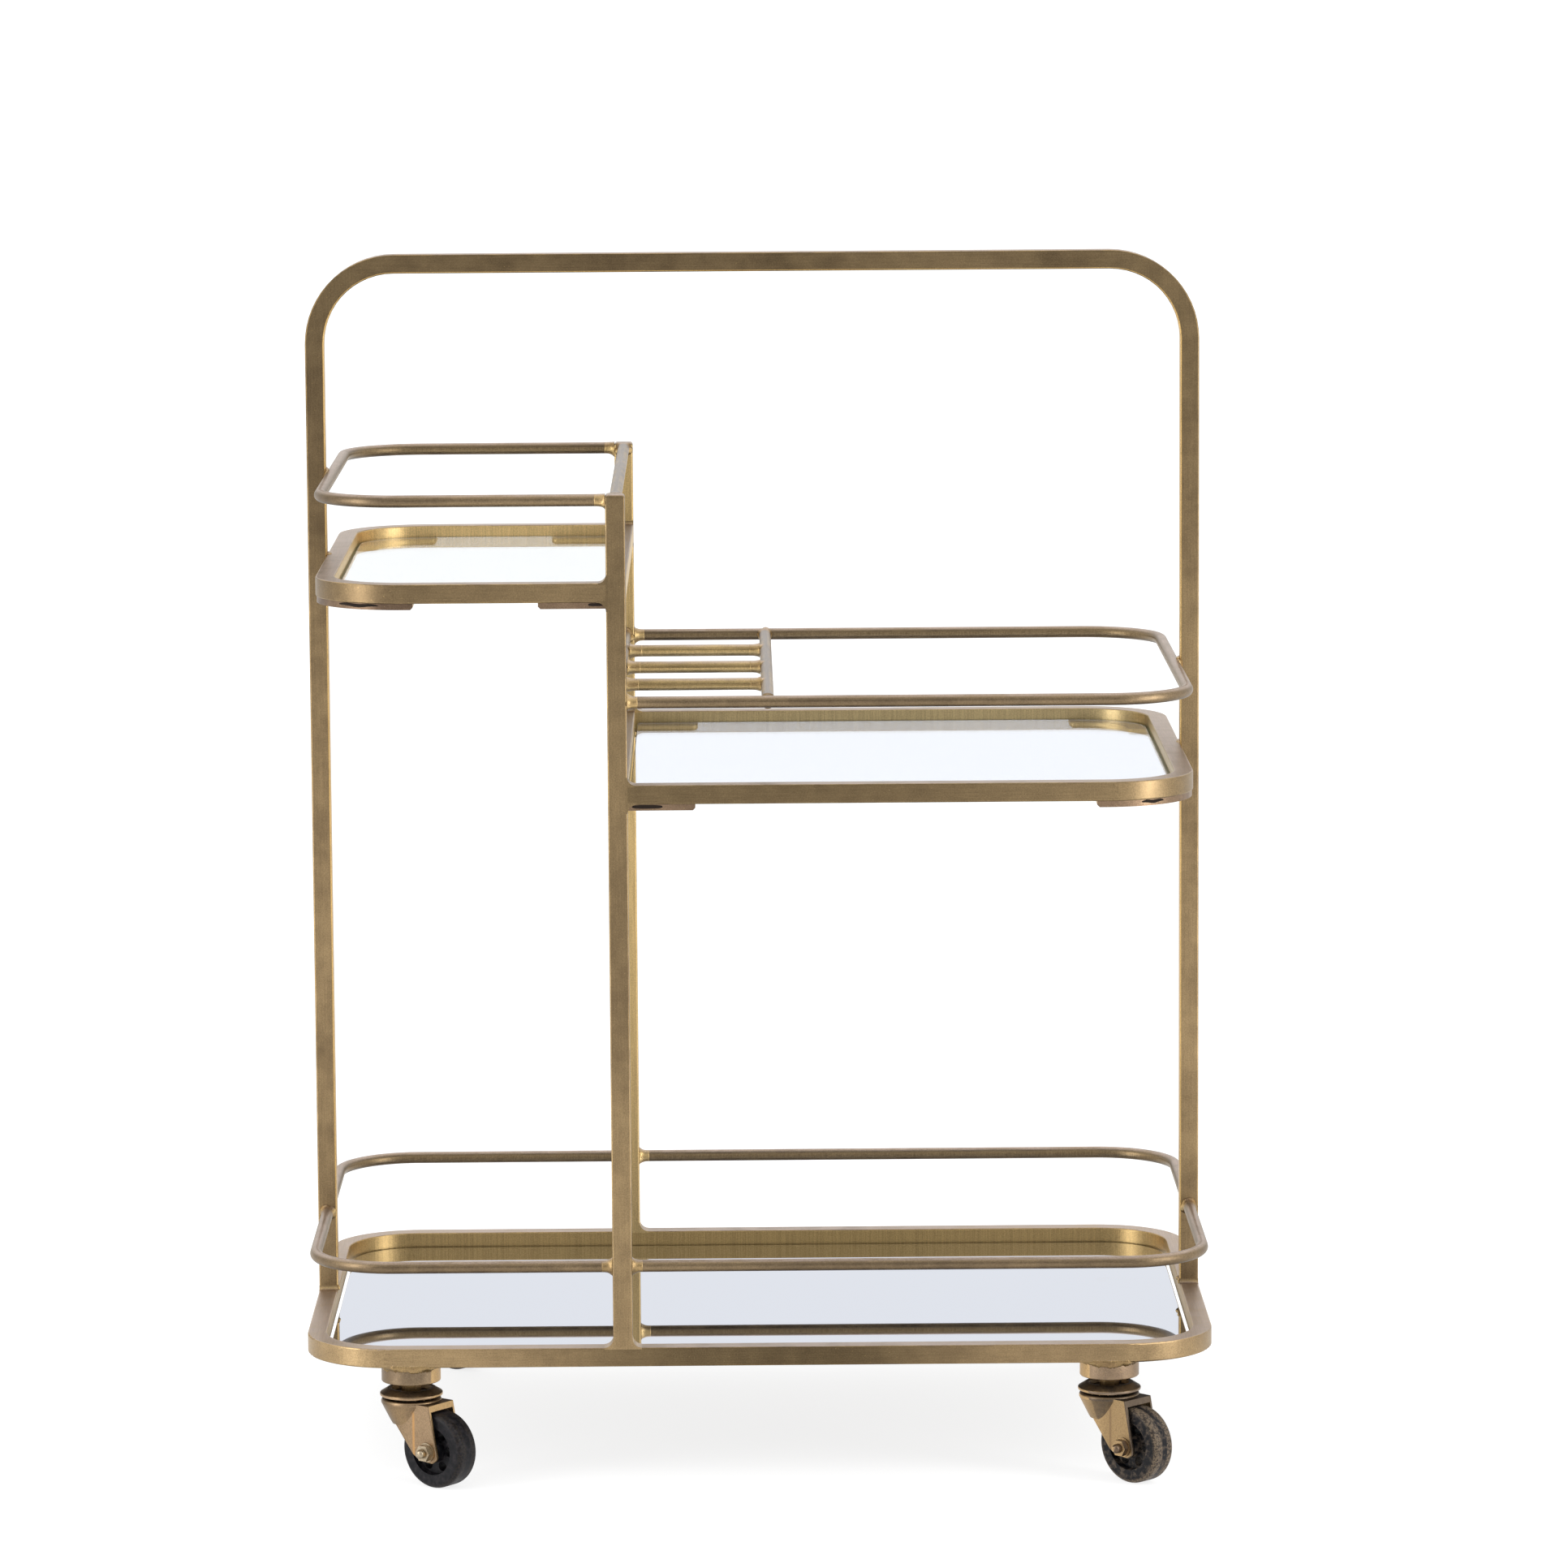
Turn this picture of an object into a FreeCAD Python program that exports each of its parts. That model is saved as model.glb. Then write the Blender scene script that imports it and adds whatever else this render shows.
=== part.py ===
# Bar cart on wheels: a welded frame of square bar, two clear glass shelves, a mirror tray, round
# guard rails with a bottle grid, and four swivel casters.
# Millimetres, +Z up. The origin is on the floor under the middle of the cart. +X runs along the
# cart to the right and -Y is the front.
import FreeCAD, Part
import math
import os
import re

import Sketcher
from FreeCAD import Placement, Rotation, Vector

SIZES = (
    ("overall_length", 600.0, "tray ring from left to right"),
    ("overall_depth", 400.0, "tray ring from front to back"),
    ("overall_height", 798.0, "floor to the top of the handle"),
    ("bar_width", 12.7, "square bar of the frame"),
    ("edge_radius", 1.0, "ground edges of the bar"),
    ("post_rounding", 2.2, "rounded edges of a post's top"),
    ("bend_radius", 60.0, "outside radius of the bends in the bar"),
    ("rod_diameter", 8.0, "round rod of the guard rails"),
    ("rail_rise", 66.0, "underside of a ring to the middle of its rail"),
    ("mid_level", 452.0, "floor to the underside of the middle shelf ring"),
    ("top_level", 584.0, "floor to the underside of the top shelf ring"),
    ("post_offset", 90.0, "middle of the cart to the middle of the posts, to the left"),
    ("grid_offset", 8.0, "middle of the cart to the end rod of the bottle grid, to the right"),
    ("glass_thickness", 5.0, "clear shelf glass"),
    ("glass_gap", 1.5, "glass to the bar around it"),
    ("mirror_gap", 2.4, "mirror to the tray ring around it"),
    ("glass_corner", 4.0, "corner radius of the glass beside the posts"),
    ("glass_arris", 0.5, "ground edge of the glass"),
    ("mirror_thickness", 2.0, "mirror of the tray"),
    ("backing_thickness", 0.5, "backing sheet under the mirror"),
    ("tab_thickness", 4.0, "plate of the glass tabs"),
    ("tab_reach", 15.0, "tab past the inside of the bar"),
    ("tab_setback", 0.8, "tab inside the outer face of the bar"),
    ("post_tab_length", 44.0, "tab beside a post"),
    ("tab_end_radius", 4.0, "rounded ends of a tab"),
    ("tab_bevel", 1.6, "ground lower edge at the ends of a tab"),
    ("caster_inset", 70.0, "end of the tray ring to the caster's stem"),
    ("collar_diameter", 39.0, "collar welded under the tray ring"),
    ("collar_height", 12.0, "collar"),
    ("thread_diameter", 10.0, "tapped hole of the collar"),
    ("thread_clearance", 0.1, "radial, stem in the collar and bolt in the fork"),
    ("stem_flats", 11.0, "hexagon of the stem across its flats"),
    ("hexagon_height", 7.4, "hexagon between the upper race and the collar"),
    ("kingpin_diameter", 8.0, "lower end of the stem, which the fork turns on"),
    ("rivet_diameter", 13.0, "riveted end of the kingpin"),
    ("rivet_thickness", 1.6, "riveted end of the kingpin"),
    ("rivet_clearance", 0.4, "fork to the riveted end of the kingpin"),
    ("running_fit", 0.08, "radial, fork on the kingpin and wheel on the sleeve"),
    ("race_diameter", 41.5, "upper race"),
    ("race_height", 5.2, "upper race at its crown"),
    ("race_rim", 2.0, "rolled rim of the upper race"),
    ("race_crown", 31.0, "outside diameter of the race's crown"),
    ("race_opening", 26.5, "diameter of the recess round the stem"),
    ("race_recess", 2.9, "depth of that recess"),
    ("recess_taper", 1.2, "recess narrower at its floor, on each side"),
    ("race_edge", 0.9, "rounding of the race's rim and crown"),
    ("race_gap", 1.3, "fork cup to the rim of the upper race"),
    ("ball_diameter", 4.0, "balls between the fork and the upper race"),
    ("ball_circle", 29.0, "circle that the balls run on"),
    ("ball_clearance", 0.3, "balls to the groove of the upper race"),
    ("ball_seat", 0.05, "balls to the groove of the fork"),
    ("cup_diameter", 40.0, "round top of the fork"),
    ("cup_thickness", 5.5, "top of the fork over the wheel"),
    ("cup_wall", 3.0, "straight side of the cup over its cone"),
    ("cup_edge", 2.2, "rounded top edge of the cup"),
    ("cone_height", 14.0, "cone from the cup down to the legs"),
    ("fork_width", 26.0, "fork outside its legs"),
    ("leg_thickness", 2.0, "legs of the fork"),
    ("bridge_drop", 1.5, "cup's top down to the bridge over the wheel"),
    ("bridge_end", 1.2, "rear end of the bridge behind the axle"),
    ("leg_shoulder", 2.0, "foot of the cup's wall down to the leg's front edge"),
    ("shin_ahead", 12.5, "lower end of the leg's front edge, ahead of the axle"),
    ("shin_drop", 3.0, "that end below the axle"),
    ("toe_ahead", 7.0, "front end of the leg's foot, ahead of the axle"),
    ("toe_drop", 6.6, "that end below the axle"),
    ("heel_behind", 4.0, "rear end of the leg's foot, behind the axle"),
    ("heel_drop", 7.5, "that end below the axle"),
    ("calf_behind", 8.4, "lower end of the leg's rear edge, behind the axle"),
    ("calf_drop", 4.5, "that end below the axle"),
    ("leg_corner", 3.0, "rounded corners of the leg's foot"),
    ("leg_edge", 0.8, "rounded outside edges of the leg"),
    ("wheel_diameter", 50.0, "wheel"),
    ("wheel_width", 18.0, "wheel"),
    ("wheel_clearance", 1.5, "wheel to the bridge of the fork"),
    ("shoulder_radius", 3.4, "rounded shoulders of the wheel"),
    ("wheel_ring", 32.0, "inside of the wheel's outer ring"),
    ("wheel_web", 9.0, "web between the outer ring and the hub"),
    ("hub_diameter", 15.0, "hub of the wheel"),
    ("hub_side_clearance", 0.8, "hub to each leg"),
    ("recess_draft", 0.7, "taper of the sides of the wheel's recess"),
    ("opening_diameter", 6.6, "openings in the web"),
    ("trail", 24.0, "kingpin to the axle"),
    ("axle_diameter", 6.0, "axle bolt"),
    ("sleeve_diameter", 8.0, "sleeve that the wheel turns on"),
    ("nut_flats", 10.0, "nut and head of the axle bolt across their flats"),
    ("nut_height", 5.0, "nut of the axle bolt"),
    ("flange_diameter", 12.6, "flange of the nut"),
    ("flange_thickness", 1.0, "flange of the nut"),
    ("head_height", 4.0, "head of the axle bolt"),
    ("bolt_end", 4.5, "domed end of the axle bolt past its nut"),
    ("bolt_dome", 2.4, "rounding of that end"),
)

# Levels and places that follow from the sizes above.
PLACES = {
    "half_length": "overall_length / 2",
    "half_depth": "overall_depth / 2",
    "half_bar": "bar_width / 2",
    "rod_radius": "rod_diameter / 2",
    "inner_bend": "bend_radius - bar_width",
    "rail_bend": "bend_radius - half_bar",
    "wheel_radius": "wheel_diameter / 2",
    "web_level": "wheel_diameter + wheel_clearance",
    "cup_level": "web_level + cup_thickness",
    "race_level": "cup_level + race_gap",
    "seat_level": "race_level + race_height - race_recess",
    "collar_level": "seat_level + hexagon_height",
    "tray_level": "collar_level + collar_height",
    "tray_top": "tray_level + bar_width",
    "post_left": "0 - post_offset - half_bar",
    "post_right": "half_bar - post_offset",
    "shelf_end": "half_length - bar_width",
    "rail_end": "half_length - bar_width - rod_radius",
    "rail_side": "half_depth - half_bar",
    "between_posts": "overall_depth - 2 * bar_width",
    "corner_arm": "bend_radius + 1.5 * tab_end_radius",
    "grid_pitch": "rail_side / 2",
    "grid_length": "grid_offset + post_offset",
    "post_top": "top_level + rail_rise + rod_radius",
    "leg_inside": "fork_width / 2 - leg_thickness",
    "bolt_tip": "fork_width / 2 + nut_height + bolt_end",
}

# Each caster's corner, as the signs of X and Y.
CASTERS = {"front_left": (-1, -1), "front_right": (1, -1), "rear_left": (-1, 1), "rear_right": (1, 1)}
# How far each wheel trails round from +X, in degrees.
TURNS = {"front_left": -38.0, "front_right": -45.0, "rear_left": -42.0, "rear_right": -52.0}
BALLS = 16
WHEEL_OPENINGS = 6
GRID_RODS = 3
# Lengths nearer than this are taken as equal.
TOUCH = 1e-4

doc = FreeCAD.newDocument("BarCart")
sheet = doc.addObject("Spreadsheet::Sheet", "Sizes")
nodes = []


def fill_sheet():
    """Writes one row for each size: its name, its value under that alias, and what it is."""
    for row, (alias, number, note) in enumerate(SIZES, start=1):
        sheet.set(f"A{row}", alias)
        sheet.set(f"B{row}", f"{number:g}")
        sheet.set(f"C{row}", note)
        sheet.setAlias(f"B{row}", alias)
    doc.recompute()


def expression(text):
    """A formula over the sheet's cells, from one that uses the names in SIZES and PLACES."""
    text = str(text)
    names = "|".join(PLACES)
    while re.search(rf"\b({names})\b", text):
        text = re.sub(rf"\b({names})\b", lambda found: f"({PLACES[found[0]]})", text)
    aliases = "|".join(alias for alias, number, note in SIZES)
    return re.sub(rf"\b({aliases})\b", r"Sizes.\1", text)


def value(text):
    """The number that a formula stands for now."""
    return float(sheet.evalExpression(expression(text)))


def bind(thing, property_name, text):
    thing.setExpression(property_name, expression(text))


def new_body(label, x="0", y="0", z="0", turn=0.0):
    """A named piece, placed at x, y, z and turned round +Z by turn degrees."""
    body = doc.addObject("PartDesign::Body", label)
    body.Label = label
    body.Placement = Placement(Vector(), Rotation(Vector(0, 0, 1), turn))
    for axis, place in (("x", x), ("y", y), ("z", z)):
        bind(body, f"Placement.Base.{axis}", place)
    nodes.append(body)
    return body


def new_sketch(body, role, offset="0"):
    """A sketch on one of the body's origin planes, moved along the plane's normal by offset."""
    sketch = body.newObject("Sketcher::SketchObject", "Sketch")
    plane = next(item for item in body.Origin.OriginFeatures if item.Role == role)
    sketch.AttachmentSupport = [(plane, "")]
    sketch.MapMode = "FlatFace"
    bind(sketch, "AttachmentOffset.Base.z", offset)
    return sketch


def hold(sketch, kind, target, text):
    """Holds a length or the place of a point, given as (geometry, point), to a formula."""
    from_origin = (-1, 1) if kind.startswith("Distance") else ()
    index = sketch.addConstraint(Sketcher.Constraint(kind, *from_origin, *target, value(text)))
    bind(sketch, f"Constraints[{index}]", text)


def outline(sketch, corners, closed=True):
    """Runs parallel to the sketch's axes between corners (x, y, bend radius or None)."""
    points = [Vector(value(x), value(y), 0) for x, y, bend in corners]
    bends = [value(bend) if bend else 0.0 for x, y, bend in corners]
    count = len(corners)
    runs = []
    for i in range(count if closed else count - 1):
        follow = (i + 1) % count
        along = (points[follow] - points[i]).normalize()
        line = Part.LineSegment(points[i] + along * bends[i], points[follow] - along * bends[follow])
        run = sketch.addGeometry(line)
        level = abs(along.x) > abs(along.y)
        sketch.addConstraint(Sketcher.Constraint("Horizontal" if level else "Vertical", run))
        hold(sketch, "DistanceY" if level else "DistanceX", (run, 1), corners[i][1 if level else 0])
        runs.append((run, along))
    joins = range(count) if closed else range(1, count - 1)
    for i in joins:
        (before, arriving), (after, leaving) = runs[i - 1], runs[i % len(runs)]
        if bends[i] == 0.0:
            sketch.addConstraint(Sketcher.Constraint("Coincident", before, 2, after, 1))
            continue
        centre = points[i] + (leaving - arriving) * bends[i]
        left_turn = arriving.cross(leaving).z > 0
        begin, end = (-leaving, arriving) if left_turn else (arriving, -leaving)
        first = math.atan2(begin.y, begin.x)
        last = math.atan2(end.y, end.x)
        whole = Part.Circle(centre, Vector(0, 0, 1), bends[i])
        arc = sketch.addGeometry(Part.ArcOfCircle(whole, first, last))
        near, far = (1, 2) if left_turn else (2, 1)
        sketch.addConstraint(Sketcher.Constraint("Tangent", before, 2, arc, near))
        sketch.addConstraint(Sketcher.Constraint("Tangent", arc, far, after, 1))
        hold(sketch, "Radius", (arc,), corners[i][2])
    if not closed:
        for (run, along), point, corner in ((runs[0], 1, corners[0]), (runs[-1], 2, corners[-1])):
            level = abs(along.x) > abs(along.y)
            hold(sketch, "DistanceX" if level else "DistanceY", (run, point), corner[0 if level else 1])


def rectangle(sketch, left, right, low, high, bend=None):
    corners = ((left, low), (right, low), (right, high), (left, high))
    outline(sketch, [(x, y, bend) for x, y in corners])


def polygon(sketch, corners):
    """Straight sides between corners (x, y)."""
    points = [Vector(value(x), value(y), 0) for x, y in corners]
    lines = [sketch.addGeometry(Part.LineSegment(a, b)) for a, b in zip(points, points[1:] + points[:1])]
    for line, follow, (x, y) in zip(lines, lines[1:] + lines[:1], corners):
        sketch.addConstraint(Sketcher.Constraint("Coincident", line, 2, follow, 1))
        hold(sketch, "DistanceX", (line, 1), x)
        hold(sketch, "DistanceY", (line, 1), y)


def circle(sketch, diameter, x="0", y="0"):
    middle = Vector(value(x), value(y), 0)
    round_line = sketch.addGeometry(Part.Circle(middle, Vector(0, 0, 1), value(diameter) / 2))
    hold(sketch, "Diameter", (round_line,), diameter)
    hold(sketch, "DistanceX", (round_line, 3), x)
    hold(sketch, "DistanceY", (round_line, 3), y)


def hexagon(sketch, flats):
    """A hexagon round the sketch's origin, with two corners on its X axis."""
    reach = 1 / math.sqrt(3)
    corners = []
    for i in range(6):
        x, y = reach * math.cos(math.radians(60 * i)), reach * math.sin(math.radians(60 * i))
        corners.append((f"{flats} * {x:.9f}", f"{flats} * {y:.9f}"))
    polygon(sketch, corners)


def pad(body, sketch, length, both_ways=False):
    feature = body.newObject("PartDesign::Pad", "Pad")
    feature.Profile = sketch
    feature.Midplane = both_ways
    bind(feature, "Length", length)
    doc.recompute()
    return feature


def turned(body, sketch, kind="PartDesign::Revolution", axis="V_Axis"):
    """A full turn of the sketch round its own vertical or horizontal axis."""
    feature = body.newObject(kind, kind.split("::")[1])
    feature.Profile = sketch
    feature.ReferenceAxis = (sketch, [axis])
    feature.Angle = 360
    doc.recompute()
    return feature


def cut(body, sketch, length=None, kind="PartDesign::Pocket"):
    """Cuts the sketch both ways through the body, or a length in all, and checks that it bites."""
    before = body.Shape.Volume
    if kind == "PartDesign::Groove":
        feature = turned(body, sketch, kind)
    else:
        feature = body.newObject(kind, "Pocket")
        feature.Profile = sketch
        feature.Midplane = True
        feature.Type = "Length" if length else "ThroughAll"
        if length:
            bind(feature, "Length", length)
        doc.recompute()
    if body.Shape.Volume > before - TOUCH:
        raise RuntimeError(f"{body.Label}: a cut takes nothing away")
    return feature


def ease(body, radius, chosen, kind="PartDesign::Fillet"):
    """Rounds or chamfers the edges of the body's last feature that chosen(edge) picks."""
    base = body.Tip
    names = [f"Edge{i}" for i, edge in enumerate(base.Shape.Edges, start=1) if chosen(edge)]
    if not names:
        raise RuntimeError(f"{body.Label}: no edge to round")
    feature = body.newObject(kind, "Edge")
    feature.Base = (base, names)
    bind(feature, "Radius" if kind.endswith("Fillet") else "Size", radius)
    doc.recompute()


def lies_at(edge, axis, *places):
    """True if the whole edge lies at one of the places along an axis of its body."""
    box = edge.BoundBox
    low, high = getattr(box, f"{axis}Min"), getattr(box, f"{axis}Max")
    return any(abs(low - place) < TOUCH and abs(high - place) < TOUCH for place in places)


def spans(edge, axis, length):
    """True if the edge reaches over a length, a formula, along an axis of its body."""
    return abs(getattr(edge.BoundBox, f"{axis}Length") - value(length)) < TOUCH


def sweep(body, path, diameter, plane, offset, x, y):
    """Round rod along a path, from a circle at (x, y) on a plane across the path's start."""
    section = new_sketch(body, plane, offset)
    circle(section, diameter, x, y)
    feature = body.newObject("PartDesign::AdditivePipe", "Rod")
    feature.Profile = section
    feature.Spine = (path, [f"Edge{i}" for i in range(1, len(path.Shape.Edges) + 1)])
    doc.recompute()


def make_tray_frame():
    body = new_body("tray_frame", z="tray_level")
    sketch = new_sketch(body, "XY_Plane")
    rectangle(sketch, "0 - half_length", "half_length", "0 - half_depth", "half_depth", "bend_radius")
    inner = "half_depth - bar_width"
    rectangle(sketch, "0 - shelf_end", "shelf_end", f"0 - ({inner})", inner, "inner_bend")
    pad(body, sketch, "bar_width")
    ease(body, "edge_radius", lambda edge: lies_at(edge, "Z", 0, value("bar_width")))


def make_handle_hoop():
    """The tall inverted U at mid depth, standing on the tray ring's two ends."""
    body = new_body("handle_hoop", z="tray_top")
    sketch = new_sketch(body, "XZ_Plane")
    top = "overall_height - tray_top"
    inner_top = "overall_height - tray_top - bar_width"
    outline(sketch, [
        ("0 - half_length", "0", None),
        ("0 - half_length", top, "bend_radius"),
        ("half_length", top, "bend_radius"),
        ("half_length", "0", None),
        ("shelf_end", "0", None),
        ("shelf_end", inner_top, "inner_bend"),
        ("0 - shelf_end", inner_top, "inner_bend"),
        ("0 - shelf_end", "0", None),
    ])
    pad(body, sketch, "bar_width", both_ways=True)
    faces = (-value("half_bar"), value("half_bar"))
    ease(body, "edge_radius", lambda edge: lies_at(edge, "Y", *faces) and not lies_at(edge, "Z", 0))


def make_post(label, side):
    body = new_body(label, x="0 - post_offset", y=f"{side} * rail_side", z="tray_top")
    sketch = new_sketch(body, "XY_Plane")
    rectangle(sketch, "0 - half_bar", "half_bar", "0 - half_bar", "half_bar")
    pad(body, sketch, "post_top - tray_top")
    top = value("post_top") - value("tray_top")
    ease(body, "edge_radius", lambda edge: not lies_at(edge, "Z", 0, top))
    ease(body, "post_rounding", lambda edge: lies_at(edge, "Z", top))


def make_shelf_frame(label, level, start, end):
    """A U of bar from the posts' faces at start round the cart's end at end."""
    body = new_body(label, z=level)
    sketch = new_sketch(body, "XY_Plane")
    inward = "+" if end.startswith("0 -") else "-"
    inner_end = f"{end} {inward} bar_width"
    outline(sketch, [
        (start, "0 - half_depth", None),
        (end, "0 - half_depth", "bend_radius"),
        (end, "half_depth", "bend_radius"),
        (start, "half_depth", None),
        (start, "half_depth - bar_width", None),
        (inner_end, "half_depth - bar_width", "inner_bend"),
        (inner_end, "bar_width - half_depth", "inner_bend"),
        (start, "bar_width - half_depth", None),
    ])
    pad(body, sketch, "bar_width")
    butt = value(start)
    ends = (0, value("bar_width"))
    ease(body, "edge_radius", lambda edge: lies_at(edge, "Z", *ends) and not lies_at(edge, "X", butt))


def make_shelf_crossbar(label, level):
    body = new_body(label, x="0 - post_offset", z=level)
    sketch = new_sketch(body, "XZ_Plane")
    rectangle(sketch, "0 - half_bar", "half_bar", "0", "bar_width")
    pad(body, sketch, "between_posts", both_ways=True)
    reach = value("between_posts") / 2
    ease(body, "edge_radius", lambda edge: not lies_at(edge, "Y", -reach, reach))


def make_end_rail(label, level, start, end):
    """A rod from the front post round the cart's end to the rear post, along the hoop's upright."""
    body = new_body(label, z=f"{level} + rail_rise")
    path = new_sketch(body, "XY_Plane")
    outline(path, [
        (start, "0 - rail_side", None),
        (end, "0 - rail_side", "rail_bend"),
        (end, "rail_side", "rail_bend"),
        (start, "rail_side", None),
    ], closed=False)
    doc.recompute()
    sweep(body, path, "rod_diameter", "YZ_Plane", start, "0 - rail_side", "0")


def make_tray_rail(label, start, end, side):
    """A rod from a post round one corner of the tray to the face of the hoop's upright."""
    body = new_body(label, z="tray_level + rail_rise")
    path = new_sketch(body, "XY_Plane")
    outline(path, [
        (start, f"{side} * rail_side", None),
        (end, f"{side} * rail_side", "rail_bend"),
        (end, f"{side} * half_bar", None),
    ], closed=False)
    doc.recompute()
    sweep(body, path, "rod_diameter", "YZ_Plane", start, f"{side} * rail_side", "0")


def make_post_rod(label, level):
    """A straight rod between the two posts."""
    body = new_body(label, x="0 - post_offset", z=f"{level} + rail_rise")
    sketch = new_sketch(body, "XZ_Plane")
    circle(sketch, "rod_diameter")
    pad(body, sketch, "between_posts", both_ways=True)


def make_grid_crossbar():
    """The grid's end rod, coped to the middle rail at both ends."""
    body = new_body("grid_crossbar", x="grid_offset", z="mid_level + rail_rise")
    sketch = new_sketch(body, "XZ_Plane")
    circle(sketch, "rod_diameter")
    pad(body, sketch, "2 * rail_side", both_ways=True)
    ends = new_sketch(body, "YZ_Plane")
    for side in (-1, 1):
        circle(ends, "rod_diameter", f"{side} * rail_side", "0")
    cut(body, ends)


def make_grid_rods():
    """The short rods that part the bottle cells, coped to the cross rods at both ends."""
    body = new_body("grid_rods", x="0 - post_offset", z="mid_level + rail_rise")
    sketch = new_sketch(body, "YZ_Plane")
    for i in range(GRID_RODS):
        circle(sketch, "rod_diameter", f"{i - (GRID_RODS - 1) / 2} * grid_pitch", "0")
    pad(body, sketch, "grid_length")
    ends = new_sketch(body, "XZ_Plane")
    circle(ends, "rod_diameter")
    circle(ends, "rod_diameter", "grid_length", "0")
    cut(body, ends)


def make_glass_tabs(label, level, post_face, to_end):
    """Plates under a shelf ring that carry its glass: two in the bent corners, two by the posts."""
    body = new_body(label, z=f"{level} - tab_thickness")
    sketch = new_sketch(body, "XY_Plane")
    outer = f"{to_end} * (shelf_end - tab_setback)"
    inner = f"{to_end} * (shelf_end - bar_width - tab_reach)"
    arm = f"{to_end} * (shelf_end - corner_arm)"
    post_arm = f"{post_face} + {to_end} * post_tab_length"
    for side in (-1, 1):
        edge = f"{side} * (half_depth - tab_setback)"
        reach = f"{side} * (half_depth - bar_width - tab_reach)"
        side_arm = f"{side} * (half_depth - corner_arm)"
        outline(sketch, [
            (outer, edge, "bend_radius - tab_setback"),
            (arm, edge, None),
            (arm, reach, "tab_end_radius"),
            (inner, reach, "inner_bend - tab_reach"),
            (inner, side_arm, "tab_end_radius"),
            (outer, side_arm, None),
        ])
        outline(sketch, [
            (post_face, edge, None),
            (post_arm, edge, None),
            (post_arm, reach, "tab_end_radius"),
            (post_face, reach, None),
        ])
    pad(body, sketch, "tab_thickness")
    ends = (value(arm), value(post_arm))
    at_ends = lambda edge: lies_at(edge, "Z", 0) and lies_at(edge, "X", *ends)
    ease(body, "tab_bevel", at_ends, "PartDesign::Chamfer")


def make_glass(label, level, post_face, to_end):
    """Clear glass that lies inside a shelf ring, on its tabs."""
    body = new_body(label, z=level)
    sketch = new_sketch(body, "XY_Plane")
    near = f"{post_face} + {to_end} * glass_gap"
    far = f"{to_end} * (shelf_end - bar_width - glass_gap)"
    edge = "half_depth - bar_width - glass_gap"
    outline(sketch, [
        (near, f"0 - ({edge})", "glass_corner"),
        (far, f"0 - ({edge})", "inner_bend - glass_gap"),
        (far, edge, "inner_bend - glass_gap"),
        (near, edge, "glass_corner"),
    ])
    pad(body, sketch, "glass_thickness")
    faces = (0, value("glass_thickness"))
    ease(body, "glass_arris", lambda line: lies_at(line, "Z", *faces), "PartDesign::Chamfer")


def make_tray_sheet(label, level, thickness):
    """A sheet that fills the tray ring and rests on the collars."""
    body = new_body(label, z=level)
    sketch = new_sketch(body, "XY_Plane")
    end = "shelf_end - mirror_gap"
    edge = "half_depth - bar_width - mirror_gap"
    rectangle(sketch, f"0 - ({end})", end, f"0 - ({edge})", edge, "inner_bend - mirror_gap")
    pad(body, sketch, thickness)


def caster_place(corner):
    """Where a caster's kingpin stands."""
    x_sign, y_sign = CASTERS[corner]
    return f"{x_sign} * (half_length - caster_inset)", f"{y_sign} * (half_depth - collar_diameter / 2)"


def make_collar(corner):
    x, y = caster_place(corner)
    body = new_body(f"{corner}_collar", x, y, "collar_level")
    sketch = new_sketch(body, "XY_Plane")
    circle(sketch, "collar_diameter")
    circle(sketch, "thread_diameter")
    pad(body, sketch, "collar_height")
    ease(body, "edge_radius", lambda edge: lies_at(edge, "Z", 0) and spans(edge, "X", "collar_diameter"))


def make_stem(corner):
    """Threaded shank, hexagon and riveted kingpin in one."""
    x, y = caster_place(corner)
    body = new_body(f"{corner}_stem", x, y)
    hexagon_sketch = new_sketch(body, "XY_Plane", "seat_level")
    hexagon(hexagon_sketch, "stem_flats")
    pad(body, hexagon_sketch, "hexagon_height")
    shank = new_sketch(body, "XY_Plane", "collar_level")
    circle(shank, "thread_diameter - 2 * thread_clearance")
    pad(body, shank, "collar_height")
    rivet_top = "web_level - rivet_clearance"
    kingpin = new_sketch(body, "XY_Plane", rivet_top)
    circle(kingpin, "kingpin_diameter")
    pad(body, kingpin, f"seat_level - ({rivet_top})")
    rivet = new_sketch(body, "XY_Plane", f"{rivet_top} - rivet_thickness")
    circle(rivet, "rivet_diameter")
    pad(body, rivet, "rivet_thickness")


def make_top_race(corner):
    """The dished upper race, with a rolled rim and a ball groove underneath."""
    x, y = caster_place(corner)
    body = new_body(f"{corner}_top_race", x, y, "race_level")
    section = new_sketch(body, "XZ_Plane")
    bore = "kingpin_diameter / 2 + thread_clearance"
    polygon(section, [
        (bore, "0"),
        ("race_diameter / 2", "0"),
        ("race_diameter / 2", "race_rim"),
        ("race_crown / 2", "race_height"),
        ("race_opening / 2", "race_height"),
        ("race_opening / 2 - recess_taper", "race_height - race_recess"),
        (bore, "race_height - race_recess"),
    ])
    turned(body, section)
    crown = value("race_height")
    ease(body, "race_edge", lambda edge: spans(edge, "X", "race_diameter") or lies_at(edge, "Z", crown))
    groove = new_sketch(body, "XZ_Plane")
    circle(groove, "ball_diameter + 2 * ball_clearance", "ball_circle / 2", "0 - race_gap")
    cut(body, groove, kind="PartDesign::Groove")


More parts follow.
